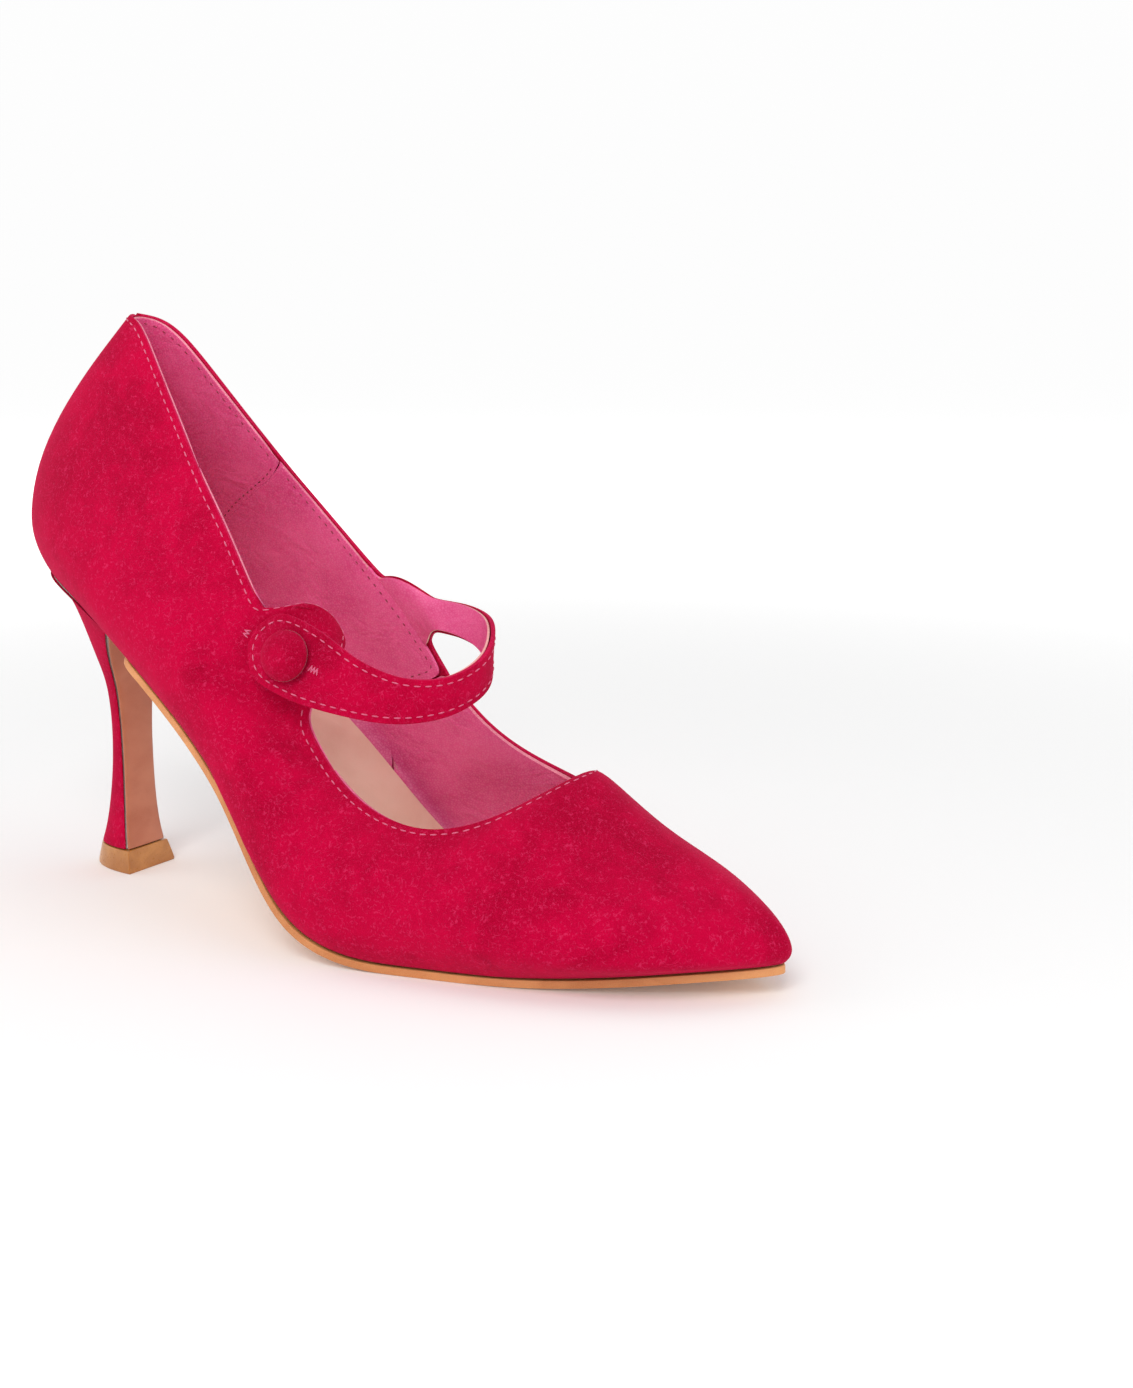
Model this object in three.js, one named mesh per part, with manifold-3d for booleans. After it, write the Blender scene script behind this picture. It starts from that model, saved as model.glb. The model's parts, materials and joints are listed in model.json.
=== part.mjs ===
// High heel pump with a buttoned instep strap, right foot.
// Millimetres, +Z up, toe towards +X, outer (lateral) side towards -Y, inner (medial) side towards +Y.
// The shoe is drawn with x = 0 at the rearmost point of the heel cup and z = 0 on the ground, and is
// moved at the end so that the origin is the bottom centre of its bounding box.

import * as THREE from 'three';
import { mergeVertices } from 'three/addons/utils/BufferGeometryUtils.js';
import Module from 'manifold-3d';

const wasm = await Module();
wasm.setup();

// ---------------------------------------------------------------- driving dimensions

const LATERAL = -1;
const MEDIAL = 1;
const UP = new THREE.Vector3(0, 0, 1);
const GAP = 0.3; // clearance kept between pieces that touch on the real shoe

// The last: three rails run from the middle of the heel to the toe tip on each side. The feather is
// the lower edge of the upper, the waist rail is the widest line, and the top rail is the topline,
// then the ridge of the vamp.
const LENGTH = 233.5;
const FEATHER_BACK = 5.5; // x of the feather at the back of the heel
const FEATHER_TOE_INSET = 1.5;
const TOPLINE_BACK = 38.5; // x of the topline's highest point
const BACK_HEIGHT = 156;
const THROAT = 180; // x of the throat's point
const HEEL_CUP_RADIUS = 46; // length over which the heel rounds in plan
const COLLAR_RADIUS = 14.5;
const THROAT_ROUNDING = 31;
const TOE_ROUNDING = 33;
const TOE_SHARPNESS = 0.65; // 0.5 is a round toe, 1 a pointed one
const RIDGE_ROUNDING = 14;
const WIDEST = 0.35; // v of the widest line, 0 at the feather and 1 at the top

const HALF_WIDTHS = {
  at: [0, 30, 60, 90, 120, 150, 175, 200, 232],
  feather: {
    [LATERAL]: [21, 22.5, 26, 32.5, 41, 35, 29, 19.5, 11],
    [MEDIAL]: [23, 23, 22, 23, 29, 30, 29, 22.5, 12],
  },
  widest: {
    [LATERAL]: [24, 27, 30, 35.5, 43, 40.5, 38, 30.5, 17.5],
    [MEDIAL]: [28, 28.5, 27.5, 28, 32, 36, 35.5, 29.5, 16.5],
  },
  widestAboveFeather: [15, 15, 17, 17.5, 17, 14.5, 11, 7, 2.5],
};
const FEATHER_HEIGHT = {
  at: [0, 30, 60, 90, 120, 145, 165, 190, 215, 232],
  z: [88, 80, 62, 40, 9, 2.5, 2.5, 3.5, 6.5, 8],
};
const RIDGE = { at: [150, 180, 195, 210, 222, 232], z: [57, 48, 36.5, 29, 23, 20] };
const TOPLINE = {
  at: [TOPLINE_BACK, 45, 60, 75, 90, 110, 130, 150, 165, THROAT],
  z: {
    [LATERAL]: [BACK_HEIGHT, 154, 136, 114.5, 94, 56, 40, 35, 38, 48],
    [MEDIAL]: [BACK_HEIGHT, 152.5, 133.5, 114.5, 98, 76.5, 51.5, 40, 38.5, 48],
  },
  halfWidth: {
    [LATERAL]: [11, 8.5, 13, 17.5, 20.5, 22.5, 28, 28.5, 27, 25],
    [MEDIAL]: [11, 9, 13.5, 18.5, 22, 24, 26.5, 28.5, 27, 25],
  },
};
const LEAN = { at: [31, 45, 60, 90, 120, 150, 177], degrees: [43, 35, 22, 13, 17, 32, 80] };
const FLARE = { at: [0, 30, 60, 90, 120, 150, 175, 205, 232], degrees: [60, 55, 50, 45, 42, 40, 42, 45, 55] };

// Layers of the upper, as depths below the outer face.
const SUEDE = [0, 1.15];
const STIFFENER = [1.45, 2.05];
const LINING = [2.35, 3.05];
const LINING_RISE = 0.9; // how far the lining closes up to the suede at the topline

// Layers of the bottom, as heights above the feather line.
const OUTSOLE = [-2.5, -0.45];
const FILLER = [0, 0.9];
const SHANK_BOARD = [1.25, 2.05];
const INSOLE = [2.35, 3.35];
const PADDING = [3.65, 4.85];
const SOCK = [5.15, 5.95];

// The ear of the outer side curls over the instep and carries the button. It leaves the topline
// between two x values, and reaches furthest near its back.
const EAR = {
  from: 96.3, to: 111, curl: 14,
  at: [0, 0.06, 0.13, 0.24, 0.36, 0.5, 0.68, 0.85, 1],
  reach: [0, 12, 18, 21.5, 22.3, 18.5, 9.5, 2.5, 0],
};
const EAR_LEAN = [92, 114]; // x values of the chord that the ear stands on

// The heel, from the ground up. Each level gives the back point, the front point and half the width.
const HEEL_LEVELS = [
  { back: [17.0, 6.6], front: [32.8, 6.6], half: 7.6 },
  { back: [19.2, 12], front: [32.0, 12], half: 6.9 },
  { back: [21.2, 20], front: [31.6, 20], half: 6.3 },
  { back: [23.0, 30], front: [31.5, 30], half: 6.0 },
  { back: [23.9, 42], front: [31.5, 42], half: 6.1 },
  { back: [23.3, 52], front: [31.6, 51.5], half: 7.0 },
  { back: [20.8, 61], front: [32.2, 58], half: 9.2 },
  { back: [16.6, 69.5], front: [34.8, 61.5], half: 13.2 },
  { back: [11.2, 78.5], front: [40.5, 65], half: 18.4 },
  { back: [5.8, 87], front: [49.5, 68], half: 23.2 },
];
const HEEL_COVER = 0.7;
const BREAST_COVER = 0.8;
const TOP_PIECE_HEIGHT = 6.3;
const HEEL_AXIS = [27.9, 0]; // x, y of the steel tube in the heel
const TUBE = { outer: 2.0, inner: 1.3, bottom: 8, top: 54 };
const PIN = { radius: 1.0, bottom: 1.5, top: 24 };
const SCREW = { at: [27.9, 0], radius: 1.9, head: 3.6, headHeight: 1.1, length: 20 };
const NAILS = { radius: 0.8, head: 1.6, headHeight: 0.5, length: 11, spread: [6.5, 6.5] };

// The strap: middle of the ribbon, direction across it, and its width, from the root to the tip.
const STRAP_ROUTE = [
  { middle: [107.5, 24.2, 79.5], across: [-0.60, 0.10, 0.79], width: 12.5 },
  { middle: [120.5, 22, 77.2], across: [-0.38, 0.50, 0.78], width: 9.2 },
  { middle: [134.5, 17, 76.8], across: [-0.20, 0.42, 0.89], width: 8.9 },
  { middle: [146, 9.3, 74.6], across: [-0.05, 0.20, 0.98], width: 9.2 },
  { middle: [151.5, -1, 68.6], across: [0.10, -0.05, 0.99], width: 9.6 },
  { middle: [148, -12, 64], across: [0.15, 0, 0.98], width: 9.9 },
  { middle: [138.5, -20.5, 63.2], across: [0.20, 0.15, 0.97], width: 11.5 },
  { middle: [126, -25, 66.3], across: [0.28, 0.25, 0.93], width: 14.5 },
  { middle: [117, -26.5, 69.8], across: [0.30, 0.30, 0.90], width: 18 },
  { middle: [109.8, -27, 72.6], across: [0.32, 0.32, 0.90], width: 19 },
  { middle: [103, -27, 74.8], across: [0.32, 0.32, 0.90], width: 17.5 },
  { middle: [97.5, -26.6, 76.2], across: [0.32, 0.32, 0.90], width: 9 },
];
const STRAP_SUEDE = [0, 1.15];
const STRAP_LINING = [1.45, 2.1];
// The root flares out to the inner topline between two x values, and has its full width again at a
// share of the route. It stands clear of the quarter by a gap.
const ROOT = { back: 98.5, front: 116, end: 0.13, gap: 0.45, cells: 6, rows: 7 };

const BUTTON = { radius: 6.5, dome: 4.2, rim: 1.2, standOff: 0.9, backRadius: 5.4, backHeight: 0.8 };
const ELASTIC = { radius: 0.7, spread: 1.4 };

// ---------------------------------------------------------------- small helpers

/** Smooth curve through hand-set values, flat at its turning points so it never overshoots. */
function through(at, values) {
  const slope = at.slice(1).map((x, i) => (values[i + 1] - values[i]) / (x - at[i]));
  const tangent = at.map((x, i) => {
    if (i === 0) return slope[0];
    if (i === at.length - 1) return slope[i - 1];
    if (slope[i - 1] * slope[i] <= 0) return 0;
    const before = x - at[i - 1];
    const after = at[i + 1] - x;
    return (slope[i - 1] * after + slope[i] * before) / (before + after);
  });
  return (x) => {
    const clamped = THREE.MathUtils.clamp(x, at[0], at[at.length - 1]);
    let i = 0;
    while (i < at.length - 2 && clamped > at[i + 1]) i += 1;
    const span = at[i + 1] - at[i];
    const t = (clamped - at[i]) / span;
    return values[i] * (1 + 2 * t) * (1 - t) ** 2 + span * tangent[i] * t * (1 - t) ** 2
      + values[i + 1] * t * t * (3 - 2 * t) + span * tangent[i + 1] * t * t * (t - 1);
  };
}

/** Rises from 0 to 1 like a quarter circle (power 0.5), for rounded ends. */
function rounded(t, power = 0.5) {
  const inside = THREE.MathUtils.clamp(t, 0, 1);
  return (1 - (1 - inside) ** 2) ** power;
}

const vec = (list) => new THREE.Vector3(...list);
const spread = (from, to, count) => (
  Array.from({ length: count + 1 }, (_, i) => from + (to - from) * i / count));

/** Cubic Bezier point between a and d with handles b and c. */
function bezier(a, b, c, d, t) {
  return new THREE.CubicBezierCurve3(a, b, c, d).getPoint(t);
}

/** Welds a geometry into one closed body that faces outwards. */
function welded(geometry, keepTriangle = () => true) {
  const bare = geometry.clone();
  bare.deleteAttribute('normal');
  bare.deleteAttribute('uv');
  bare.clearGroups();
  const merged = mergeVertices(bare, 1e-4);
  const position = merged.getAttribute('position');
  const point = (i) => new THREE.Vector3().fromBufferAttribute(position, i);
  const kept = [];
  let volume = 0;
  for (let i = 0; i < merged.index.count; i += 3) {
    const corner = [0, 1, 2].map((k) => merged.index.getX(i + k));
    const flat = corner[0] === corner[1] || corner[1] === corner[2] || corner[2] === corner[0];
    const [a, b, c] = corner.map(point);
    if (!flat && keepTriangle(a, b, c)) {
      kept.push(...corner);
      volume += a.dot(b.cross(c));
    }
  }
  if (volume < 0) kept.reverse();
  merged.setIndex(kept);
  return merged;
}

/** Turns the diagonals of the box's lower face to match the upper face, so that thin layers nest. */
function matchDiagonals(box) {
  const { start, count } = box.groups[5];
  for (let k = start; k < start + count; k += 6) {
    const [a, b, d, , c] = box.index.array.slice(k, k + 5);
    box.index.array.set([a, b, c, a, c, d], k);
  }
}

/** A slab: a box grid of nu by nv cells bent into shape. place(i, j, outer) gives each corner. */
function slab(nu, nv, place, keepTriangle) {
  const box = new THREE.BoxGeometry(1, 1, 1, nu, nv, 1);
  matchDiagonals(box);
  const position = box.getAttribute('position');
  for (let k = 0; k < position.count; k += 1) {
    const i = Math.round((position.getX(k) + 0.5) * nu);
    const j = Math.round((position.getY(k) + 0.5) * nv);
    const corner = place(i, j, position.getZ(k) > 0);
    position.setXYZ(k, corner.x, corner.y, corner.z);
  }
  return welded(box, keepTriangle);
}

/** Turns welded geometry into a solid that can be cut. */
function solidOf(geometry) {
  const mesh = new wasm.Mesh({
    numProp: 3,
    vertProperties: new Float32Array(geometry.getAttribute('position').array),
    triVerts: new Uint32Array(geometry.index.array),
  });
  return new wasm.Manifold(mesh);
}

/** Cuts the tools out of a welded geometry. */
function cut(geometry, tools) {
  let result = solidOf(geometry);
  for (const tool of tools) result = result.subtract(solidOf(tool));
  const mesh = result.getMesh();
  const cutGeometry = new THREE.BufferGeometry();
  cutGeometry.setAttribute('position', new THREE.BufferAttribute(new Float32Array(mesh.vertProperties), 3));
  cutGeometry.setIndex(new THREE.BufferAttribute(new Uint32Array(mesh.triVerts), 1));
  return cutGeometry;
}

/** A solid turned from a half profile of [radius, height] points, standing on +Z. */
function turned(profile, segments = 20) {
  const points = profile.map(([radius, height]) => new THREE.Vector2(radius, height));
  const lathe = new THREE.LatheGeometry(points, segments);
  lathe.rotateX(Math.PI / 2);
  return welded(lathe);
}

const rod = (radius, bottom, top, segments) => turned(
  [[0, bottom], [radius, bottom], [radius, top], [0, top]], segments);

// ---------------------------------------------------------------- the last

const widthCurve = (rail, side) => through(HALF_WIDTHS.at, HALF_WIDTHS[rail][side]);
const CURVES = {
  featherHeight: through(FEATHER_HEIGHT.at, FEATHER_HEIGHT.z),
  widestRise: through(HALF_WIDTHS.at, HALF_WIDTHS.widestAboveFeather),
  ridge: through(RIDGE.at, RIDGE.z),
  lean: through(LEAN.at, LEAN.degrees),
  flare: through(FLARE.at, FLARE.degrees),
  [LATERAL]: {
    feather: widthCurve('feather', LATERAL),
    widest: widthCurve('widest', LATERAL),
    topHeight: through(TOPLINE.at, TOPLINE.z[LATERAL]),
    topWidth: through(TOPLINE.at, TOPLINE.halfWidth[LATERAL]),
  },
  [MEDIAL]: {
    feather: widthCurve('feather', MEDIAL),
    widest: widthCurve('widest', MEDIAL),
    topHeight: through(TOPLINE.at, TOPLINE.z[MEDIAL]),
    topWidth: through(TOPLINE.at, TOPLINE.halfWidth[MEDIAL]),
  },
};

/** Share of the length reached at station s, slower near both ends so that they are rounded well. */
const reach = (s) => 0.72 * (0.5 - 0.5 * Math.cos(Math.PI * s)) + 0.28 * s;

/** Station at which the top rail passes x. */
function stationAt(x) {
  let low = 0;
  let high = 1;
  for (let i = 0; i < 40; i += 1) {
    const middle = (low + high) / 2;
    if (TOPLINE_BACK + (LENGTH - TOPLINE_BACK) * reach(middle) < x) low = middle;
    else high = middle;
  }
  return (low + high) / 2;
}

/** Ends of the feather line, drawn in by an inset. */
const featherEnds = (inset) => [FEATHER_BACK + inset, LENGTH - FEATHER_TOE_INSET - 1.6 * inset];

function featherWidth(side, x, inset) {
  const [from, to] = featherEnds(inset);
  return Math.max(CURVES[side].feather(x) - inset, 0)
    * rounded((x - from) / HEEL_CUP_RADIUS) * rounded((to - x) / TOE_ROUNDING, TOE_SHARPNESS);
}

function featherPoint(side, s) {
  const [from, to] = featherEnds(0);
  const x = from + (to - from) * reach(s);
  return new THREE.Vector3(x, side * featherWidth(side, x, 0), CURVES.featherHeight(x));
}

function widestPoint(side, s) {
  const x = LENGTH * reach(s);
  const width = CURVES[side].widest(x)
    * rounded(x / HEEL_CUP_RADIUS) * rounded((LENGTH - x) / TOE_ROUNDING, TOE_SHARPNESS);
  return new THREE.Vector3(x, side * width, CURVES.featherHeight(x) + CURVES.widestRise(x));
}

function topPoint(side, s) {
  const x = TOPLINE_BACK + (LENGTH - TOPLINE_BACK) * reach(s);
  if (x < THROAT) {
    const width = CURVES[side].topWidth(x)
      * rounded((x - TOPLINE_BACK) / COLLAR_RADIUS) * rounded((THROAT - x) / THROAT_ROUNDING, 0.78);
    return new THREE.Vector3(x, side * width, CURVES[side].topHeight(x));
  }
  const base = widestPoint(side, s).z;
  return new THREE.Vector3(x, 0, base + (CURVES.ridge(x) - base) * rounded((LENGTH - x) / RIDGE_ROUNDING));
}

/** Outward direction in plan, square to the widest line. */
function outwards(side, s) {
  const before = widestPoint(side, Math.max(s - 0.001, 0));
  const after = widestPoint(side, Math.min(s + 0.001, 1));
  if (s === 1) return new THREE.Vector3(1, 0, 0);
  return new THREE.Vector3(-side * (after.y - before.y), side * (after.x - before.x), 0).normalize();
}

/** Point on the outer face of the upper: v is 0 at the feather, 1 at the topline or the ridge. */
function facePoint(side, s, v) {
  const feather = featherPoint(side, s);
  const widest = widestPoint(side, s);
  const top = topPoint(side, s);
  const out = outwards(side, s);
  if (v < WIDEST) {
    const flare = THREE.MathUtils.degToRad(CURVES.flare(widest.x));
    const reachOut = 0.38 * widest.distanceTo(feather);
    const start = out.clone().multiplyScalar(Math.cos(flare)).addScaledVector(UP, Math.sin(flare));
    const b = feather.clone().addScaledVector(start, reachOut);
    const c = widest.clone().addScaledVector(UP, -reachOut);
    return bezier(feather, b, c, widest, v / WIDEST);
  }
  const lean = top.x < THROAT - 1e-6 ? THREE.MathUtils.degToRad(CURVES.lean(top.x)) : Math.PI / 2;
  const square = THREE.MathUtils.smoothstep(top.x, 100, 150);
  const sideways = out.lerp(new THREE.Vector3(0, side, 0), square).normalize();
  const end = UP.clone().multiplyScalar(Math.cos(lean)).addScaledVector(sideways, -Math.sin(lean));
  const upper = top.distanceTo(widest);
  const b = widest.clone().addScaledVector(UP, 0.33 * upper);
  const c = top.clone().addScaledVector(end, -0.16 * upper);
  return bezier(widest, b, c, top, (v - WIDEST) / (1 - WIDEST));
}

/** Outward normal of the outer face. On the middle plane it has no sideways part. */
function faceNormal(side, s, v) {
  const step = 0.002;
  const top = topPoint(side, s);
  if (s === 1 && v >= WIDEST) return new THREE.Vector3(1, 0, 0);
  if (v === 1 && top.x > THROAT - 1e-6) {
    const ahead = facePoint(side, Math.min(s + step, 1), v).sub(facePoint(side, s, v));
    return new THREE.Vector3(-ahead.z, 0, ahead.x).normalize();
  }
  const forward = facePoint(side, Math.min(s + step, 1), v).sub(facePoint(side, Math.max(s - step, 0), v));
  const upward = facePoint(side, s, Math.min(v + step, 1)).sub(facePoint(side, s, Math.max(v - step, 0)));
  const normal = upward.cross(forward).multiplyScalar(side).normalize();
  if (top.x < THROAT) {
    const lean = THREE.MathUtils.degToRad(CURVES.lean(top.x));
    const nearThroat = THREE.MathUtils.smoothstep(top.x, 135, 160) * THREE.MathUtils.smoothstep(v, 0.7, 0.95);
    normal.lerp(new THREE.Vector3(0, side * Math.cos(lean), Math.sin(lean)), nearThroat);
  }
  if (s === 0 || s === 1) normal.y = 0;
  return normal.normalize();
}

/** Point on the wall of the upper at a depth below the outer face. */
function wallPoint(side, s, v, depth = 0) {
  return facePoint(side, s, v).addScaledVector(faceNormal(side, s, v), -depth);
}

// ---------------------------------------------------------------- the ear of the outer side

const EAR_ROOT = EAR_LEAN.map((x) => wallPoint(LATERAL, stationAt(x), 1));
const EAR_EDGE = EAR_ROOT[1].clone().sub(EAR_ROOT[0]).normalize();
const EAR_FORWARD = new THREE.Vector3(0, 0.21, 0.98).projectOnPlane(EAR_EDGE).normalize();
const EAR_INWARD = EAR_FORWARD.clone().cross(EAR_EDGE).normalize();

const earProfile = through(EAR.at, EAR.reach);

/** How far the ear reaches beyond the topline at x. */
function earReach(x) {
  const share = (x - EAR.from) / (EAR.to - EAR.from);
  return share <= 0 || share >= 1 ? 0 : earProfile(share);
}

/** Adds to a topline point the way to share b of the ear's reach there. */
function alongEar(topline, x, b, depth) {
  const angle = b * earReach(x) / EAR.curl;
  const radius = EAR.curl - depth;
  return topline.addScaledVector(EAR_FORWARD, radius * Math.sin(angle))
    .addScaledVector(EAR_INWARD, radius * (1 - Math.cos(angle)));
}

// ---------------------------------------------------------------- pieces of the upper

const S_BACK = 2.5e-5; // first station, which leaves a seam's width at the middle of the back
const S_THROAT = stationAt(THROAT);
const liesOnRidge = (...corners) => corners.every((p) => Math.abs(p.y) < 1e-6 && p.x > THROAT - 6);

/** Stations along one side. Every piece runs forward on the outer side and back on the inner side. */
function run(side, stations) {
  const ordered = side === LATERAL ? stations : [...stations].reverse();
  return ordered.map((s) => ({ side, s }));
}

/**
 * A layer of the upper that covers a run of stations. layer gives its depths, rows the v values, and
 * with an ear it has earRows more rows that follow the ear. A station may carry a slant: the share of
 * the way from it to the inner waist seam, which leans, at which the layer really stands.
 */
function upperLayer({ stations, rows = ROWS, layer, earRows = 0, rise = 0 }) {
  const place = (i, j, outer) => {
    const { side, s: base, slant = 0, margin = 0 } = stations[i];
    const v = rows[Math.min(j, rows.length - 1)];
    const s = THREE.MathUtils.lerp(base, seamStation(v) + margin, slant);
    const x = topPoint(side, s).x;
    const nearTop = THREE.MathUtils.smoothstep(v, 0.8, 1) * THREE.MathUtils.smoothstep(THROAT - x, 0, 15);
    const depth = (outer ? layer[0] : layer[1]) - rise * nearTop;
    const point = wallPoint(side, s, v, depth);
    if (earRows === 0 || side === MEDIAL) return point;
    return alongEar(point, x, Math.max(j - rows.length + 1, 0) / earRows, depth);
  };
  return slab(stations.length - 1, rows.length - 1 + earRows, place, (a, b, c) => !liesOnRidge(a, b, c));
}

// All layers share these rows and stations, so that their faces stay parallel.
const ROWS = [0, 0.1, 0.22, 0.35, 0.48, 0.62, 0.76, 0.88, 1];
const BACK_STATIONS = [0.02, 0.045, 0.075, 0.11, 0.155, 0.2];
const COUNTER_STATIONS = [0.25, 0.275];
const GRIP_SEAM = COUNTER_STATIONS[0]; // seam between the heel grip and the side linings
const EAR_STATIONS = EAR.at.map((share) => stationAt(THREE.MathUtils.lerp(EAR.from, EAR.to, share)));
const VAMP_SEAM = stationAt(121); // seam between the side linings and the vamp lining
const SIDE_STATIONS = [VAMP_SEAM, ...spread(stationAt(129), S_THROAT, 7)];
const PUFF_STATION = 0.735;
const FRONT_STATIONS = [0.69, PUFF_STATION, 0.78, 0.82, 0.86, 0.9, 0.93, 0.955, 0.975, 0.99, 1];
const SEAM_FOOT = 98; // x of the inner waist seam at the feather
const SEAM_HEAD = 124; // and at the topline
const SEAM_WIDTH = 0.0022; // stations left open for a seam
const EAR_ROWS = 5;
const ROOT_STATIONS = spread(stationAt(ROOT.back), stationAt(ROOT.front), ROOT.cells);

function seamStation(v) {
  return stationAt(THREE.MathUtils.lerp(SEAM_FOOT, SEAM_HEAD, v));
}

function buildVamp() {
  const lateral = [S_BACK, ...BACK_STATIONS, ...COUNTER_STATIONS, 0.3, ...EAR_STATIONS, ...SIDE_STATIONS,
    ...FRONT_STATIONS];
  const medial = FRONT_STATIONS.slice(0, -1);
  const slanted = spread(0, 1, 8).map((slant) => ({ side: MEDIAL, s: S_THROAT, slant, margin: SEAM_WIDTH }));
  return upperLayer({
    stations: [...run(LATERAL, lateral), ...run(MEDIAL, medial), ...slanted], layer: SUEDE, earRows: EAR_ROWS,
  });
}

function buildMedialQuarter() {
  const tops = [seamStation(1), ...[...ROOT_STATIONS].reverse(), 0.3];
  const slanted = tops.map((s) => ({ side: MEDIAL, s: 0.3, slant: (s - 0.3) / (seamStation(1) - 0.3) }));
  return upperLayer({
    stations: [...slanted, ...run(MEDIAL, [S_BACK, ...BACK_STATIONS, ...COUNTER_STATIONS])], layer: SUEDE,
  });
}

/** Stations that run round the back of the heel. */
const roundHeel = (half) => [...run(MEDIAL, half), ...run(LATERAL, [0, ...half])];

/** Stations that run round the toe, the last of them being its tip. */
const roundToe = (half) => [...run(LATERAL, half), ...run(MEDIAL, half.slice(0, -1))];

function buildHeelGrip() {
  const stations = roundHeel([...BACK_STATIONS, GRIP_SEAM]);
  return upperLayer({ stations, layer: LINING, rise: LINING_RISE });
}

function buildSideLining(side) {
  const inner = [...COUNTER_STATIONS.slice(1), 0.3, ...EAR_STATIONS];
  const stations = run(side, [GRIP_SEAM + SEAM_WIDTH, ...inner, VAMP_SEAM - SEAM_WIDTH]);
  return upperLayer({ stations, layer: LINING, rise: LINING_RISE, earRows: EAR_ROWS });
}

function buildVampLining() {
  const stations = roundToe([...SIDE_STATIONS, ...FRONT_STATIONS]);
  return upperLayer({ stations, layer: LINING, rise: LINING_RISE });
}

function buildToePuff() {
  const front = FRONT_STATIONS.filter((s) => s >= PUFF_STATION);
  return upperLayer({ stations: roundToe(front), rows: ROWS.slice(1), layer: STIFFENER });
}

function buildHeelCounter() {
  const stations = roundHeel([...BACK_STATIONS, ...COUNTER_STATIONS]);
  return upperLayer({ stations, rows: ROWS.slice(1, -2), layer: STIFFENER });
}

// ---------------------------------------------------------------- pieces of the bottom

// All bottom layers share these x values, so that their faces stay parallel.
const BOTTOM_STATIONS = [12, 20, 28, 36, 44, 50, 57, 65, 74, 83, 92, 101, 109, 116, 122, 128, 134, 140, 146,
  155, 165, 177, 189, 200, 210, 217];

/**
 * A layer of the bottom between two x values, drawn in from the feather by an inset, or a strip of
 * constant half width. layer gives its lower and upper face above the feather line.
 */
function bottomLayer({ from = null, to = null, layer, inset = 0, half = null, across = 4 }) {
  const [back, toe] = featherEnds(inset);
  const heelEnd = from === null ? [0, 0.4, 1.6, 4].map((step) => back + step) : [from];
  const toeEnd = to === null ? [9, 5, 2.2, 0.7, 0].map((step) => toe - step) : [to];
  const inner = BOTTOM_STATIONS.filter((x) => x > heelEnd[heelEnd.length - 1] + 1 && x < toeEnd[0] - 1);
  const stations = [...heelEnd, ...inner, ...toeEnd];
  const place = (i, j, upper) => {
    const x = stations[i];
    const share = j / across;
    const y = half === null
      ? THREE.MathUtils.lerp(-featherWidth(LATERAL, x, inset), featherWidth(MEDIAL, x, inset), share)
      : (2 * share - 1) * half;
    const slope = CURVES.featherHeight(x + 0.5) - CURVES.featherHeight(x - 0.5);
    const normal = new THREE.Vector3(-slope, 0, 1).normalize();
    const onFeather = new THREE.Vector3(x, y, CURVES.featherHeight(x));
    return onFeather.addScaledVector(normal, upper ? layer[1] : layer[0]);
  };
  return slab(stations.length - 1, across, place);
}

// ---------------------------------------------------------------- pieces of the heel

const heelCurve = (pick) => through(HEEL_LEVELS.map((_, i) => i), HEEL_LEVELS.map(pick));
const HEEL_CURVES = {
  backX: heelCurve((level) => level.back[0]),
  backZ: heelCurve((level) => level.back[1]),
  frontX: heelCurve((level) => level.front[0]),
  frontZ: heelCurve((level) => level.front[1]),
  half: heelCurve((level) => level.half),
};
const HEEL_TOP = HEEL_LEVELS.length - 1;

/** Point of the heel at a level: depth runs from 0 on the breast to 1 at the back. */
function heelPoint(level, depth, sideways, shrink, breast) {
  const front = HEEL_CURVES.frontX(level) - breast;
  const length = front - HEEL_CURVES.backX(level) - shrink;
  const x = front - length * depth;
  const share = THREE.MathUtils.clamp((HEEL_CURVES.frontX(level) - x)
    / (HEEL_CURVES.frontX(level) - HEEL_CURVES.backX(level)), 0, 1);
  const sloped = THREE.MathUtils.lerp(HEEL_CURVES.frontZ(level), HEEL_CURVES.backZ(level), share);
  const seat = CURVES.featherHeight(x) - GAP;
  const z = THREE.MathUtils.lerp(sloped, seat, THREE.MathUtils.smoothstep(level, HEEL_TOP - 3, HEEL_TOP));
  return new THREE.Vector3(x, sideways * (HEEL_CURVES.half(level) - shrink), z);
}

const HEEL_ROWS = [0, 0.7, 1.4, 2.1, 3, 4, 5, 5.6, 6.2, 6.8, 7.4, 8, 8.5, 9];

function buildHeelCore() {
  const cells = 7;
  const geometry = slab3(cells, 4, HEEL_ROWS.length - 1, (i, j, k) => {
    const turn = (i / cells) * Math.PI / 2;
    const sideways = (j / 2 - 1) * Math.cos(turn);
    return heelPoint(HEEL_ROWS[k], Math.sin(turn), sideways, HEEL_COVER + 2 * GAP, BREAST_COVER + GAP);
  });
  const tube = rod(TUBE.outer + GAP, 0, TUBE.top + 1.5, 16).translate(...HEEL_AXIS, 0);
  return cut(geometry, [tube, ...fastenerHoles()]);
}

/** A bent box grid with cells in all three directions. */
function slab3(nu, nv, nw, place) {
  const box = new THREE.BoxGeometry(1, 1, 1, nu, nv, nw);
  const position = box.getAttribute('position');
  for (let k = 0; k < position.count; k += 1) {
    const corner = place(
      Math.round((position.getX(k) + 0.5) * nu),
      Math.round((position.getY(k) + 0.5) * nv),
      Math.round((position.getZ(k) + 0.5) * nw),
    );
    position.setXYZ(k, corner.x, corner.y, corner.z);
  }
  return welded(box);
}

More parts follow.
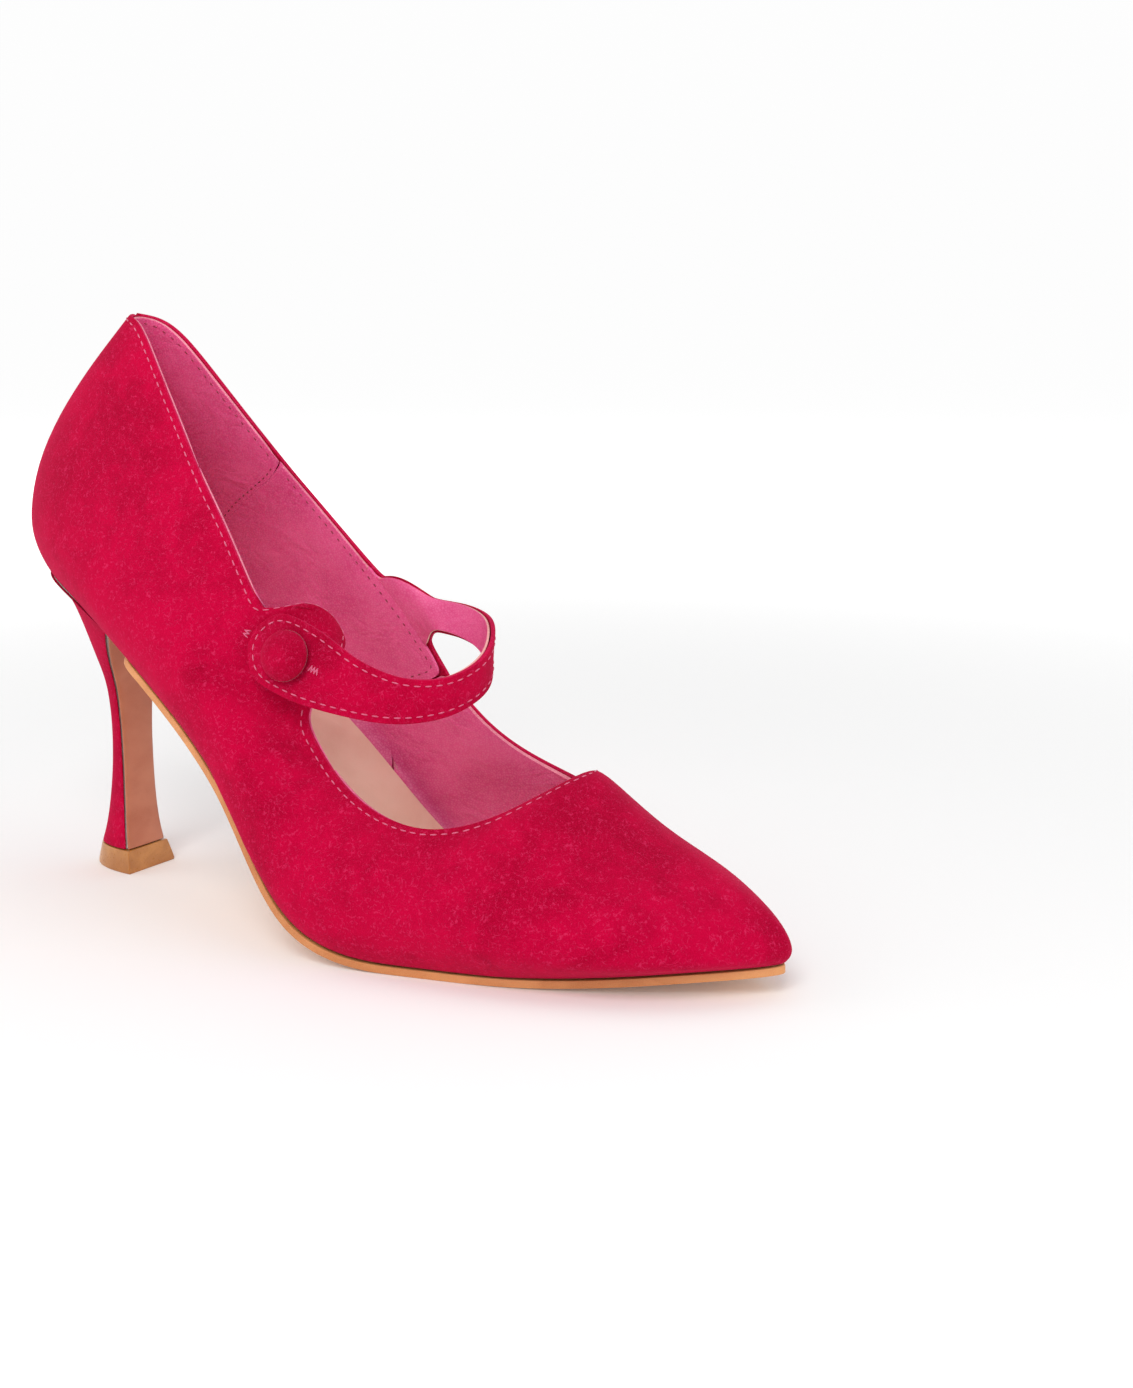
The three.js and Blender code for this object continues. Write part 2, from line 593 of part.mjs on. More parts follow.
function buildHeelCover() {
  const cells = 14;
  return slab(cells, HEEL_ROWS.length - 1, (i, j, outer) => {
    const turn = (2 * i / cells - 1) * Math.PI / 2;
    const shrink = outer ? 0 : HEEL_COVER;
    return heelPoint(HEEL_ROWS[j], Math.cos(turn), Math.sin(turn), shrink, BREAST_COVER + GAP);
  });
}

function buildBreastCover() {
  return slab(2, HEEL_ROWS.length - 1, (i, j, outer) => (
    heelPoint(HEEL_ROWS[j], 0, i - 1, 0, outer ? 0 : BREAST_COVER)
  ));
}

function buildTopPiece() {
  const rim = [[15.5, 34.3, 9.0, 0], [15.2, 34.5, 9.2, 0.8], [16.8, 33.1, 7.9, TOP_PIECE_HEIGHT]];
  const cells = 8;
  const geometry = slab3(cells, 4, rim.length - 1, (i, j, k) => {
    const [back, front, half, z] = rim[k];
    const turn = (i / cells) * Math.PI / 2;
    return new THREE.Vector3(front - (front - back) * Math.sin(turn), (j / 2 - 1) * half * Math.cos(turn), z);
  });
  const bore = rod(PIN.radius + GAP, PIN.bottom - GAP, TOP_PIECE_HEIGHT + 1, 12).translate(...HEEL_AXIS, 0);
  return cut(geometry, [bore]);
}

// ---------------------------------------------------------------- heel fasteners

const NAIL_PLACES = [[-1, -1], [-1, 1], [1, -1], [1, 1]].map(([along, sideways]) => [
  SCREW.at[0] + along * NAILS.spread[0], SCREW.at[1] + sideways * NAILS.spread[1]]);

/** Height of the insole's upper face at x, where the fasteners' heads sit. */
const insoleTop = (x) => CURVES.featherHeight(x) + INSOLE[1];

/** A fastener pointing down at [x, y], its head in the insole board. Its hole is grown and open above. */
function fastener([x, y], { radius, head, headHeight, length }, grow = 0) {
  const top = insoleTop(x) - 0.35 * head;
  const tip = top - length - grow;
  const neck = top - headHeight - grow;
  const above = top + 12 * grow;
  const profile = [[0, tip], [radius + grow, tip], [radius + grow, neck], [head + grow, neck],
    [head + grow, above], [0, above]];
  return turned(profile, 12).translate(x, y, 0);
}

const fastenerHoles = () => [
  fastener(SCREW.at, SCREW, GAP), ...NAIL_PLACES.map((place) => fastener(place, NAILS, GAP))];

// ---------------------------------------------------------------- the strap and its button

const LAST_POINT = STRAP_ROUTE.length - 1;
const strapMiddle = new THREE.CatmullRomCurve3(STRAP_ROUTE.map((p) => vec(p.middle)), false, 'centripetal');
const strapAcross = new THREE.CatmullRomCurve3(STRAP_ROUTE.map((p) => vec(p.across)), false, 'catmullrom');
const strapWidth = through(STRAP_ROUTE.map((_, i) => i / LAST_POINT), STRAP_ROUTE.map((p) => p.width));

/** Frame of the ribbon at share t of its route. */
function strapFrame(t) {
  const along = strapMiddle.getTangent(t);
  const across = strapAcross.getPoint(t).projectOnPlane(along).normalize();
  const face = along.clone().cross(across).negate().normalize();
  return { middle: strapMiddle.getPoint(t), across, face };
}

const BUTTON_AT = 9 / LAST_POINT; // share of the strap's route at the button

function ribbonPoint(t, share, depth, inset) {
  const { middle, across, face } = strapFrame(t);
  const tipRounding = rounded((1.012 - t) / 0.075, 0.6);
  const half = Math.max((strapWidth(t) / 2 - inset) * tipRounding, 0.2);
  return middle.addScaledVector(across, (2 * share - 1) * half).addScaledVector(face, -depth);
}

/** Point of the flared root: b runs from 0 at the topline to 1 where the ribbon has its own width. */
function rootPoint(b, share, depth, inset) {
  const s = THREE.MathUtils.lerp(ROOT_STATIONS[ROOT_STATIONS.length - 1], ROOT_STATIONS[0], share);
  const behind = wallPoint(MEDIAL, s - 0.004, 1, depth);
  const along = wallPoint(MEDIAL, s + 0.004, 1, depth).sub(behind).normalize();
  const upward = facePoint(MEDIAL, s, 1).sub(facePoint(MEDIAL, s, 0.98)).normalize();
  const outwards = upward.clone().addScaledVector(along, -upward.dot(along)).normalize();
  const start = wallPoint(MEDIAL, s, 1, depth).addScaledVector(outwards, ROOT.gap);
  const end = ribbonPoint(ROOT.end, share, depth, inset);
  const toTip = ribbonPoint(ROOT.end + 0.01, share, depth, inset).sub(end).normalize();
  const edge = (2 * share - 1) ** 3;
  const leave = outwards.clone().multiplyScalar(1 - Math.max(edge, 0));
  leave.addScaledVector(along, edge > 0 ? edge : 0.5 * edge).normalize();
  const reachOut = start.distanceTo(end);
  const b1 = start.clone().addScaledVector(leave, 0.38 * reachOut);
  const b2 = end.clone().addScaledVector(toTip, -0.42 * reachOut);
  return bezier(start, b1, b2, end, b);
}

function strapLayer(layer, inset) {
  const cells = 26;
  return slab(ROOT.rows + cells, ROOT.cells, (i, j, outer) => {
    const depth = outer ? layer[0] : layer[1];
    const share = j / ROOT.cells;
    if (i < ROOT.rows) return rootPoint(i / ROOT.rows, share, depth, inset);
    return ribbonPoint(THREE.MathUtils.lerp(ROOT.end, 1, (i - ROOT.rows) / cells), share, depth, inset);
  });
}

const BUTTON_FRAME = strapFrame(BUTTON_AT);

/** Moves a piece turned on +Z so that +Z points out of the strap at the button. */
function atButton(geometry) {
  const along = new THREE.Vector3().crossVectors(BUTTON_FRAME.across, BUTTON_FRAME.face);
  const basis = new THREE.Matrix4().makeBasis(along, BUTTON_FRAME.across, BUTTON_FRAME.face);
  basis.setPosition(BUTTON_FRAME.middle);
  return geometry.clone().applyMatrix4(basis);
}

function buildButtonDome() {
  const base = BUTTON.standOff + GAP;
  const arc = spread(0, 90, 6).map((degrees) => {
    const angle = THREE.MathUtils.degToRad(degrees);
    const height = BUTTON.rim + (BUTTON.dome - BUTTON.rim) * Math.sin(angle);
    return [BUTTON.radius * Math.cos(angle), base + height];
  });
  const inner = BUTTON.backRadius + GAP;
  const under = base + BUTTON.backHeight + GAP;
  arc[arc.length - 1][0] = 0;
  const underside = [[0, under], [inner, under], [inner, base], [BUTTON.radius - 0.5, base]];
  return atButton(turned([...underside, ...arc], 24));
}

function buildButtonBack() {
  const base = BUTTON.standOff + GAP;
  const stem = 0.6;
  return atButton(turned([[0, base - 1.6], [stem, base - 1.6], [stem, base], [BUTTON.backRadius, base],
    [BUTTON.backRadius, base + BUTTON.backHeight], [0, base + BUTTON.backHeight]], 24));
}

/** The elastic runs up one side of the button's stem, over a short bar and down the other side. */
function buildElasticLoop() {
  const low = -3.1;
  const high = BUTTON.standOff - 0.6;
  const route = new THREE.CatmullRomCurve3([
    new THREE.Vector3(-ELASTIC.spread, 0, low),
    new THREE.Vector3(-ELASTIC.spread, 0, high - 1.4),
    new THREE.Vector3(-ELASTIC.spread * 0.6, 1.3, high - 0.3),
    new THREE.Vector3(0, 1.9, high - 0.1),
    new THREE.Vector3(ELASTIC.spread * 0.6, 1.3, high - 0.3),
    new THREE.Vector3(ELASTIC.spread, 0, high - 1.4),
    new THREE.Vector3(ELASTIC.spread, 0, low),
  ], false, 'centripetal');
  const section = new THREE.Shape().absarc(0, 0, ELASTIC.radius, 0, 2 * Math.PI, false);
  const cord = new THREE.ExtrudeGeometry(section, { steps: 24, curveSegments: 4, extrudePath: route });
  return atButton(welded(cord));
}

/** The buttonhole: a slot along the strap that clears the elastic and the button's stem. */
function buttonhole() {
  const slot = new THREE.BoxGeometry(2 * (ELASTIC.spread + ELASTIC.radius + 1), 3.6 + 2 * GAP, 9);
  slot.translate(0, 0.8, -1);
  return atButton(welded(slot));
}

// ---------------------------------------------------------------- assembly

const FINISHES = {
  suede: { color: 0xc2123f, roughness: 0.95, metalness: 0 },
  liningLeather: { color: 0xc2457a, roughness: 0.6, metalness: 0 },
  stiffener: { color: 0xd8d0c0, roughness: 0.8, metalness: 0 },
  board: { color: 0x9a7b55, roughness: 0.9, metalness: 0 },
  foam: { color: 0xe8e0cc, roughness: 0.95, metalness: 0 },
  sockLeather: { color: 0xe3bf9f, roughness: 0.55, metalness: 0 },
  soleLeather: { color: 0xc98d5a, roughness: 0.5, metalness: 0 },
  abs: { color: 0xe9e6dc, roughness: 0.5, metalness: 0 },
  topPiece: { color: 0xa4773a, roughness: 0.5, metalness: 0 },
  steel: { color: 0xb4b8bc, roughness: 0.35, metalness: 1 },
  elastic: { color: 0xb01544, roughness: 0.8, metalness: 0 },
};

const pump = new THREE.Group();

function addPiece(name, geometry, finish) {
  const mesh = new THREE.Mesh(geometry, new THREE.MeshStandardMaterial(FINISHES[finish]));
  mesh.name = name;
  pump.add(mesh);
}

// Bottom: outsole, filler, shank, boards, padding and sock.
const shankStrip = bottomLayer({ from: 16, to: 122, layer: FILLER, half: 5.5, across: 2 });
const shankBoard = bottomLayer({ to: 134, layer: SHANK_BOARD, inset: 4.6 });
addPiece('outsole', bottomLayer({ from: 50.4, layer: OUTSOLE }), 'soleLeather');
addPiece('bottom_filler', bottomLayer({ from: 128, layer: FILLER, inset: 9 }), 'board');
addPiece('shank', cut(shankStrip, fastenerHoles()), 'steel');
addPiece('shank_board', cut(shankBoard, fastenerHoles()), 'board');
addPiece('insole_board', cut(bottomLayer({ layer: INSOLE, inset: 4.2 }), fastenerHoles()), 'board');
addPiece('heel_pad', bottomLayer({ to: 65, layer: PADDING, inset: 5 }), 'foam');
addPiece('forefoot_pad', bottomLayer({ from: 101, to: 189, layer: PADDING, inset: 5 }), 'foam');
addPiece('sock', bottomLayer({ layer: SOCK, inset: 2.6 }), 'sockLeather');

// Upper: suede, stiffeners and linings.
addPiece('vamp', buildVamp(), 'suede');
addPiece('medial_quarter', buildMedialQuarter(), 'suede');
addPiece('toe_puff', buildToePuff(), 'stiffener');
addPiece('heel_counter', buildHeelCounter(), 'stiffener');
addPiece('heel_grip_lining', buildHeelGrip(), 'liningLeather');
addPiece('lateral_quarter_lining', buildSideLining(LATERAL), 'liningLeather');
addPiece('medial_quarter_lining', buildSideLining(MEDIAL), 'liningLeather');
addPiece('vamp_lining', buildVampLining(), 'liningLeather');

// Heel.
addPiece('heel_core', buildHeelCore(), 'abs');
addPiece('heel_cover', buildHeelCover(), 'suede');
addPiece('heel_breast_cover', buildBreastCover(), 'soleLeather');
addPiece('heel_tube', turned([[TUBE.inner, TUBE.bottom], [TUBE.outer, TUBE.bottom], [TUBE.outer, TUBE.top],
  [TUBE.inner, TUBE.top], [TUBE.inner, TUBE.bottom]], 16).translate(...HEEL_AXIS, 0), 'steel');
addPiece('top_piece', buildTopPiece(), 'topPiece');
addPiece('top_piece_pin', rod(PIN.radius, PIN.bottom, PIN.top, 12).translate(...HEEL_AXIS, 0), 'steel');
addPiece('heel_screw', fastener(SCREW.at, SCREW), 'steel');
NAIL_PLACES.forEach((place, i) => addPiece(`heel_nail_${i + 1}`, fastener(place, NAILS), 'steel'));

// Strap and button.
addPiece('strap', cut(strapLayer(STRAP_SUEDE, 0), [buttonhole()]), 'suede');
addPiece('strap_lining', cut(strapLayer(STRAP_LINING, 0.4), [buttonhole()]), 'liningLeather');
addPiece('button_dome', buildButtonDome(), 'suede');
addPiece('button_back', buildButtonBack(), 'steel');
addPiece('elastic_loop', buildElasticLoop(), 'elastic');

// The origin is the bottom centre of the bounding box.
const bounds = new THREE.Box3().setFromObject(pump);
const centre = bounds.getCenter(new THREE.Vector3());
pump.position.set(-centre.x, -centre.y, -bounds.min.z);
pump.updateMatrixWorld(true);

export default pump;
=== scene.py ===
"""High heel pump with a buttoned instep strap: its surfaces, finishes and studio.

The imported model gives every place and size. Each soft layer of the shoe is a refined copy of its CAD
solid, and the thread, button and cords are modelled on the edges and axes of those solids.
Metres, toe towards +X, outer side towards -Y, +Z up.
"""

import json
import logging
import math
from collections.abc import Iterable
from dataclasses import dataclass, field
from enum import Enum

import bmesh
import bpy
from mathutils import Matrix, Vector
from mathutils.bvhtree import BVHTree
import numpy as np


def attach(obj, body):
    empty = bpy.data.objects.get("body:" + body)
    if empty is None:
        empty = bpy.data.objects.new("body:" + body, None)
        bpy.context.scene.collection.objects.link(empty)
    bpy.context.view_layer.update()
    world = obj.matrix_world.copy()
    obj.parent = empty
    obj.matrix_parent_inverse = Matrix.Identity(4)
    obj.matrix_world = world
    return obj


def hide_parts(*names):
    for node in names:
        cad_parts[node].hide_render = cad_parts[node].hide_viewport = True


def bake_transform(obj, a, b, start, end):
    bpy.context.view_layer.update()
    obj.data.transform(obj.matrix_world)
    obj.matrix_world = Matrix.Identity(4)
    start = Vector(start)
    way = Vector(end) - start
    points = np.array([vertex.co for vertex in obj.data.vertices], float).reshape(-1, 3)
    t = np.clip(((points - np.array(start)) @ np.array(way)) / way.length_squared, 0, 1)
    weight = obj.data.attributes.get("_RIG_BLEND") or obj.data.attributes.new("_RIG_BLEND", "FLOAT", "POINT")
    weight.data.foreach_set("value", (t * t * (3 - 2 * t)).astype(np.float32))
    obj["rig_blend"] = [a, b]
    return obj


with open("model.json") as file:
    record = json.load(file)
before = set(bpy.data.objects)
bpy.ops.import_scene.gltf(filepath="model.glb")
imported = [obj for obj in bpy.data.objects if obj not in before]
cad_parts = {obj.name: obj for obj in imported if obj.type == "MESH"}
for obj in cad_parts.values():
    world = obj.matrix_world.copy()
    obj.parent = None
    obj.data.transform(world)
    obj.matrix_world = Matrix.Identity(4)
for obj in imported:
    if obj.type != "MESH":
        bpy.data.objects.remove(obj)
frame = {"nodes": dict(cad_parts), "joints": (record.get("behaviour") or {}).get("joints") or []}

LOG = logging.getLogger("pump")
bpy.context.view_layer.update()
MM = 0.001

Colour = tuple[float, float, float]


def srgb(red: int, green: int, blue: int) -> Colour:
    """Linear colour of an sRGB one.

    Args:
        red: red, from 0 to 255.
        green: green, from 0 to 255.
        blue: blue, from 0 to 255.

    Returns:
        The same colour in linear light.
    """
    def linear(value: float) -> float:
        """One channel, from 0 to 1."""
        return value / 12.92 if value <= 0.04045 else ((value + 0.055) / 1.055) ** 2.4

    return linear(red / 255), linear(green / 255), linear(blue / 255)


# ---------------------------------------------------------------- shader helpers


class Tree:
    """Adds nodes to the tree of one material or node group."""

    def __init__(self, tree: bpy.types.NodeTree) -> None:
        """Keeps the tree."""
        self.tree = tree

    def add(self, kind: str, **settings: object) -> bpy.types.Node:
        """Makes a node.

        Args:
            kind: Blender's name for the node type.
            settings: properties set on the node.

        Returns:
            The new node.
        """
        node = self.tree.nodes.new(kind)
        for name, value in settings.items():
            setattr(node, name, value)
        return node

    def put(self, target: bpy.types.NodeSocket, value: object) -> None:
        """Links a socket to the target, or sets a plain value on it."""
        if isinstance(value, bpy.types.NodeSocket):
            self.tree.links.new(value, target)
        elif value is not None:
            is_colour = target.type == "RGBA" and len(value) == 3
            target.default_value = (*value, 1.0) if is_colour else value

    def math(self, operation: str, first: object, second: object = None) -> bpy.types.NodeSocket:
        """Result of a sum.

        Args:
            operation: Blender's name for the sum.
            first: first number or socket.
            second: second number or socket, where the sum has two.

        Returns:
            The socket with the result.
        """
        node = self.add("ShaderNodeMath", operation=operation)
        self.put(node.inputs[0], first)
        self.put(node.inputs[1], second)
        return node.outputs[0]

    def mix(self, factor: object, first: object, second: object) -> bpy.types.NodeSocket:
        """Colour mixed from two others.

        Args:
            factor: 0 for the first colour, 1 for the second.
            first: first colour.
            second: second colour.

        Returns:
            The socket with the mixed colour.
        """
        node = self.add("ShaderNodeMix", data_type="RGBA")
        self.put(node.inputs[0], factor)
        self.put(node.inputs[6], first)
        self.put(node.inputs[7], second)
        return node.outputs[2]

    def span(self, value: object, low: float, high: float, to_low: float = 0.0,
             to_high: float = 1.0) -> bpy.types.NodeSocket:
        """Value mapped smoothly from one range to another, and held at the ends.

        Args:
            value: the value.
            low: start of its range.
            high: end of its range.
            to_low: result at the start.
            to_high: result at the end.

        Returns:
            The socket with the result.
        """
        node = self.add("ShaderNodeMapRange", interpolation_type="SMOOTHSTEP")
        for index, part in enumerate((value, low, high, to_low, to_high)):
            self.put(node.inputs[index], part)
        return node.outputs[0]

    def noise(self, vector: object, scale: object, detail: float = 2.0, rough: float = 0.5,
              distortion: float = 0.0) -> bpy.types.NodeSocket:
        """Value of a cloudy noise.

        Args:
            vector: place on the surface.
            scale: spots in a metre.
            detail: finer layers added to it.
            rough: how strong the finer layers are.
            distortion: how far it swirls.

        Returns:
            The socket with the value.
        """
        node = self.add("ShaderNodeTexNoise", noise_type="FBM", normalize=True)
        self.put(node.inputs["Vector"], vector)
        self.put(node.inputs["Scale"], scale)
        self.put(node.inputs["Detail"], detail)
        self.put(node.inputs["Roughness"], rough)
        self.put(node.inputs["Distortion"], distortion)
        return node.outputs["Fac"]

    def cells(self, vector: object, scale: object) -> bpy.types.NodeSocket:
        """Distance to the edge of small cells.

        Args:
            vector: place on the surface.
            scale: cells in a metre.

        Returns:
            The socket with the distance.
        """
        node = self.add("ShaderNodeTexVoronoi", feature="DISTANCE_TO_EDGE")
        self.put(node.inputs["Vector"], vector)
        self.put(node.inputs["Scale"], scale)
        return node.outputs["Distance"]

    def place(self, scale: Iterable[float] = (1, 1, 1),
              turn: Iterable[float] = (0, 0, 0)) -> bpy.types.NodeSocket:
        """Place on the piece, stretched and turned.

        Args:
            scale: stretch along X, Y and Z.
            turn: turn about X, Y and Z in radians.

        Returns:
            The socket with the place.
        """
        coordinates = self.add("ShaderNodeTexCoord")
        mapping = self.add("ShaderNodeMapping")
        self.put(mapping.inputs["Vector"], coordinates.outputs["Object"])
        self.put(mapping.inputs["Scale"], tuple(scale))
        self.put(mapping.inputs["Rotation"], tuple(turn))
        return mapping.outputs[0]

    def bump(self, height: object, distance: float, strength: float,
             under: object = None) -> bpy.types.NodeSocket:
        """Normal roughened by a height.

        Args:
            height: the height, from 0 to 1.
            distance: metres that a height of 1 stands up.
            strength: how strongly it shows.
            under: normal that it is laid on.

        Returns:
            The socket with the normal.
        """
        node = self.add("ShaderNodeBump")
        self.put(node.inputs["Strength"], strength)
        self.put(node.inputs["Distance"], distance)
        self.put(node.inputs["Height"], height)
        self.put(node.inputs["Normal"], under)
        return node.outputs[0]

    def group(self, tree: bpy.types.NodeTree, **values: object) -> bpy.types.Node:
        """Places a node group and sets its inputs.

        Args:
            tree: the group.
            values: inputs by name, with _ for a space.

        Returns:
            The group's node.
        """
        node = self.add("ShaderNodeGroup", node_tree=tree)
        for name, value in values.items():
            self.put(node.inputs[name.replace("_", " ")], value)
        return node


def new_group(name: str, inputs: dict[str, tuple[str, float | None]],
              outputs: dict[str, str]) -> tuple[Tree, bpy.types.Node, bpy.types.Node]:
    """Starts a shader node group.

    Args:
        name: the group's name.
        inputs: socket type and first value by name.
        outputs: socket type by name.

    Returns:
        The group's tree, its input node and its output node.
    """
    tree = bpy.data.node_groups.new(name, "ShaderNodeTree")
    for label, (kind, value) in inputs.items():
        socket = tree.interface.new_socket(label, in_out="INPUT", socket_type=kind)
        if value is not None:
            socket.default_value = value
    for label, kind in outputs.items():
        tree.interface.new_socket(label, in_out="OUTPUT", socket_type=kind)
    made = Tree(tree)
    return made, made.add("NodeGroupInput"), made.add("NodeGroupOutput")


def nap_group() -> bpy.types.NodeTree:
    """Suede's nap: soft patches where it lies another way, curled strands, and fine fibre.

    Returns:
        The node group.
    """
    tree, given, out = new_group(
        "nap",
        {"Vector": ("NodeSocketVector", None), "Strand scale": ("NodeSocketFloat", 620.0)},
        {"Patch": "NodeSocketFloat", "Strand": "NodeSocketFloat", "Fibre": "NodeSocketFloat"},
    )
    vector = given.outputs["Vector"]
    scale = given.outputs["Strand scale"]
    broad = tree.noise(vector, 34.0, 3.0, 0.6, 0.6)
    small = tree.noise(vector, 150.0, 2.0, 0.5, 0.8)
    patch = tree.math("ADD", tree.math("MULTIPLY", broad, 0.7), tree.math("MULTIPLY", small, 0.3))
    tree.put(out.inputs["Patch"], tree.span(patch, 0.34, 0.66))
    curls = tree.noise(vector, scale, 1.0, 0.4, 1.2)
    ridge = tree.math("ABSOLUTE", tree.math("SUBTRACT", curls, 0.5))
    where = tree.span(tree.noise(vector, 900.0, 1.0), 0.4, 0.6)
    tree.put(out.inputs["Strand"], tree.math("MULTIPLY", tree.span(ridge, 0.05, 0.0), where))
    hair = tree.noise(vector, tree.math("MULTIPLY", scale, 5.0), 2.0, 0.65, 0.4)
    tree.put(out.inputs["Fibre"], hair)
    return tree.tree


def grain_group() -> bpy.types.NodeTree:
    """Leather's grain: small pebbles, pores and broad creases.

    Returns:
        The node group.
    """
    tree, given, out = new_group(
        "grain",
        {"Vector": ("NodeSocketVector", None), "Scale": ("NodeSocketFloat", 900.0)},
        {"Pebble": "NodeSocketFloat", "Crease": "NodeSocketFloat", "Tone": "NodeSocketFloat"},
    )
    vector = given.outputs["Vector"]
    scale = given.outputs["Scale"]
    pebbles = tree.cells(vector, scale)
    fine = tree.noise(vector, tree.math("MULTIPLY", scale, 2.2), 2.0, 0.6)
    height = tree.math("ADD", tree.span(pebbles, 0.0, 0.18), tree.math("MULTIPLY", fine, 0.5))
    tree.put(out.inputs["Pebble"], height)
    folds = tree.noise(vector, 70.0, 2.0, 0.5, 1.2)
    tree.put(out.inputs["Crease"], tree.math("ABSOLUTE", tree.math("SUBTRACT", folds, 0.5)))
    tree.put(out.inputs["Tone"], tree.span(tree.noise(vector, 45.0, 3.0, 0.55, 0.4), 0.3, 0.7))
    return tree.tree


# ---------------------------------------------------------------- finishes


@dataclass(frozen=True)
class Finish:
    """A finish of one kind of surface."""

    name: str
    slot: str

    def build(self) -> bpy.types.Material:
        """Makes the material.

        Returns:
            A new material with its nodes.
        """
        material = bpy.data.materials.new(self.name)
        material.use_nodes = True
        material.node_tree.nodes.clear()
        tree = Tree(material.node_tree)
        shader = tree.add("ShaderNodeBsdfPrincipled")
        out = tree.add("ShaderNodeOutputMaterial")
        tree.put(out.inputs["Surface"], shader.outputs[0])
        self.dress(tree, shader)
        return material

    def dress(self, tree: Tree, shader: bpy.types.Node) -> None:
        """Sets the shader's inputs. Each finish has its own."""
        raise NotImplementedError


@dataclass(frozen=True)
class Suede(Finish):
    """Napped suede with a mottled, slightly furry face."""

    deep: Colour = srgb(150, 0, 36)
    body: Colour = srgb(186, 0, 52)
    # Lighter fibre tone, also used as the colour of the painted sheen at grazing angles.
    bloom_and_sheen: Colour = srgb(198, 10, 66)
    strand: Colour = srgb(216, 52, 102)
    strand_scale: float = 640.0

    def dress(self, tree: Tree, shader: bpy.types.Node) -> None:
        """Sets colour, nap and sheen, and paints a sheen into the colour at grazing angles.

        Args:
            tree: receives the nodes.
            shader: the material's shader.
        """
        vector = tree.place()
        nap = tree.group(GROUPS["nap"], Vector=vector, Strand_scale=self.strand_scale)
        colour = tree.mix(nap.outputs["Patch"], self.deep, self.body)
        fuzz = tree.span(nap.outputs["Fibre"], 0.42, 0.72, 0.0, 0.6)
        colour = tree.mix(fuzz, colour, self.bloom_and_sheen)
        tips = tree.math("MULTIPLY", nap.outputs["Strand"], 0.45)
        colour = tree.mix(tips, colour, self.strand)
        # Painted sheen: the colour is lightened towards grazing angles, where the nap catches the light.
        rim = tree.add("ShaderNodeLayerWeight")
        tree.put(rim.inputs["Blend"], 0.35)
        colour = tree.mix(tree.math("MULTIPLY", rim.outputs["Facing"], 0.45), colour, self.bloom_and_sheen)
        tree.put(shader.inputs["Base Color"], colour)
        tree.put(shader.inputs["Roughness"], 0.95)
        tree.put(shader.inputs["Specular IOR Level"], 0.04)
        tree.put(shader.inputs["Sheen Weight"], 0.12)
        tree.put(shader.inputs["Sheen Roughness"], 0.5)
        tree.put(shader.inputs["Sheen Tint"], srgb(255, 120, 165))
        coarse = tree.bump(nap.outputs["Strand"], 0.0001, 0.5)
        tree.put(shader.inputs["Normal"], tree.bump(nap.outputs["Fibre"], 0.00008, 0.6, coarse))


@dataclass(frozen=True)
class Leather(Finish):
    """Grained or smooth leather."""

    body: Colour = srgb(238, 96, 152)
    shade: Colour = srgb(222, 74, 134)
    # Colour of the painted highlight on the raised grain.
    light: Colour = srgb(246, 140, 182)
    grain_scale: float = 1100.0
    grain: float = 1.0
    creases: float = 1.0
    roughness: float = 0.38

    def dress(self, tree: Tree, shader: bpy.types.Node) -> None:
        """Sets colour, grain, gloss and a painted highlight on the raised grain.

        Args:
            tree: receives the nodes.
            shader: the material's shader.
        """
        vector = tree.place((1.0, 1.0, 1.35), (0.5, 0.2, 0.0))
        grain = tree.group(GROUPS["grain"], Vector=vector, Scale=self.grain_scale)
        colour = tree.mix(grain.outputs["Tone"], self.shade, self.body)
        # Painted highlight: the raised grain is lightened towards the light colour.
        painted_pebble_highlight = tree.span(grain.outputs["Pebble"], 0.9, 1.4, 0.0, 0.4 * self.grain)
        colour = tree.mix(painted_pebble_highlight, colour, self.light)
        tree.put(shader.inputs["Base Color"], colour)
        gloss = tree.span(grain.outputs["Tone"], 0, 1, self.roughness + 0.07, self.roughness - 0.05)
        tree.put(shader.inputs["Roughness"], gloss)
        tree.put(shader.inputs["Specular IOR Level"], 0.4)
        folds = tree.bump(grain.outputs["Crease"], 0.0016 * self.creases, 0.5)
        tree.put(shader.inputs["Normal"], tree.bump(grain.outputs["Pebble"], 0.00004 * self.grain, 0.6, folds))


@dataclass(frozen=True)
class Moulded(Finish):
    """Moulded plastic, rubber or pressed board."""

    body: Colour = srgb(160, 110, 50)
    shade: Colour = srgb(120, 78, 32)
    roughness: float = 0.45
    speckle: float = 400.0
    depth: float = 0.00006
    coat: float = 0.0

    def dress(self, tree: Tree, shader: bpy.types.Node) -> None:
        """Sets colour, faint mottling and scuffs.

        Args:
            tree: receives the nodes.
            shader: the material's shader.
        """
        vector = tree.place()
        tone = tree.span(tree.noise(vector, 90.0, 4.0, 0.6, 0.5), 0.3, 0.7)
        fine = tree.noise(vector, self.speckle * 4, 3.0, 0.6)
        tree.put(shader.inputs["Base Color"], tree.mix(tone, self.shade, self.body))
        gloss = tree.span(fine, 0.3, 0.7, self.roughness - 0.08, self.roughness + 0.1)
        tree.put(shader.inputs["Roughness"], gloss)
        tree.put(shader.inputs["Coat Weight"], self.coat)
        tree.put(shader.inputs["Normal"], tree.bump(fine, self.depth, 0.6))


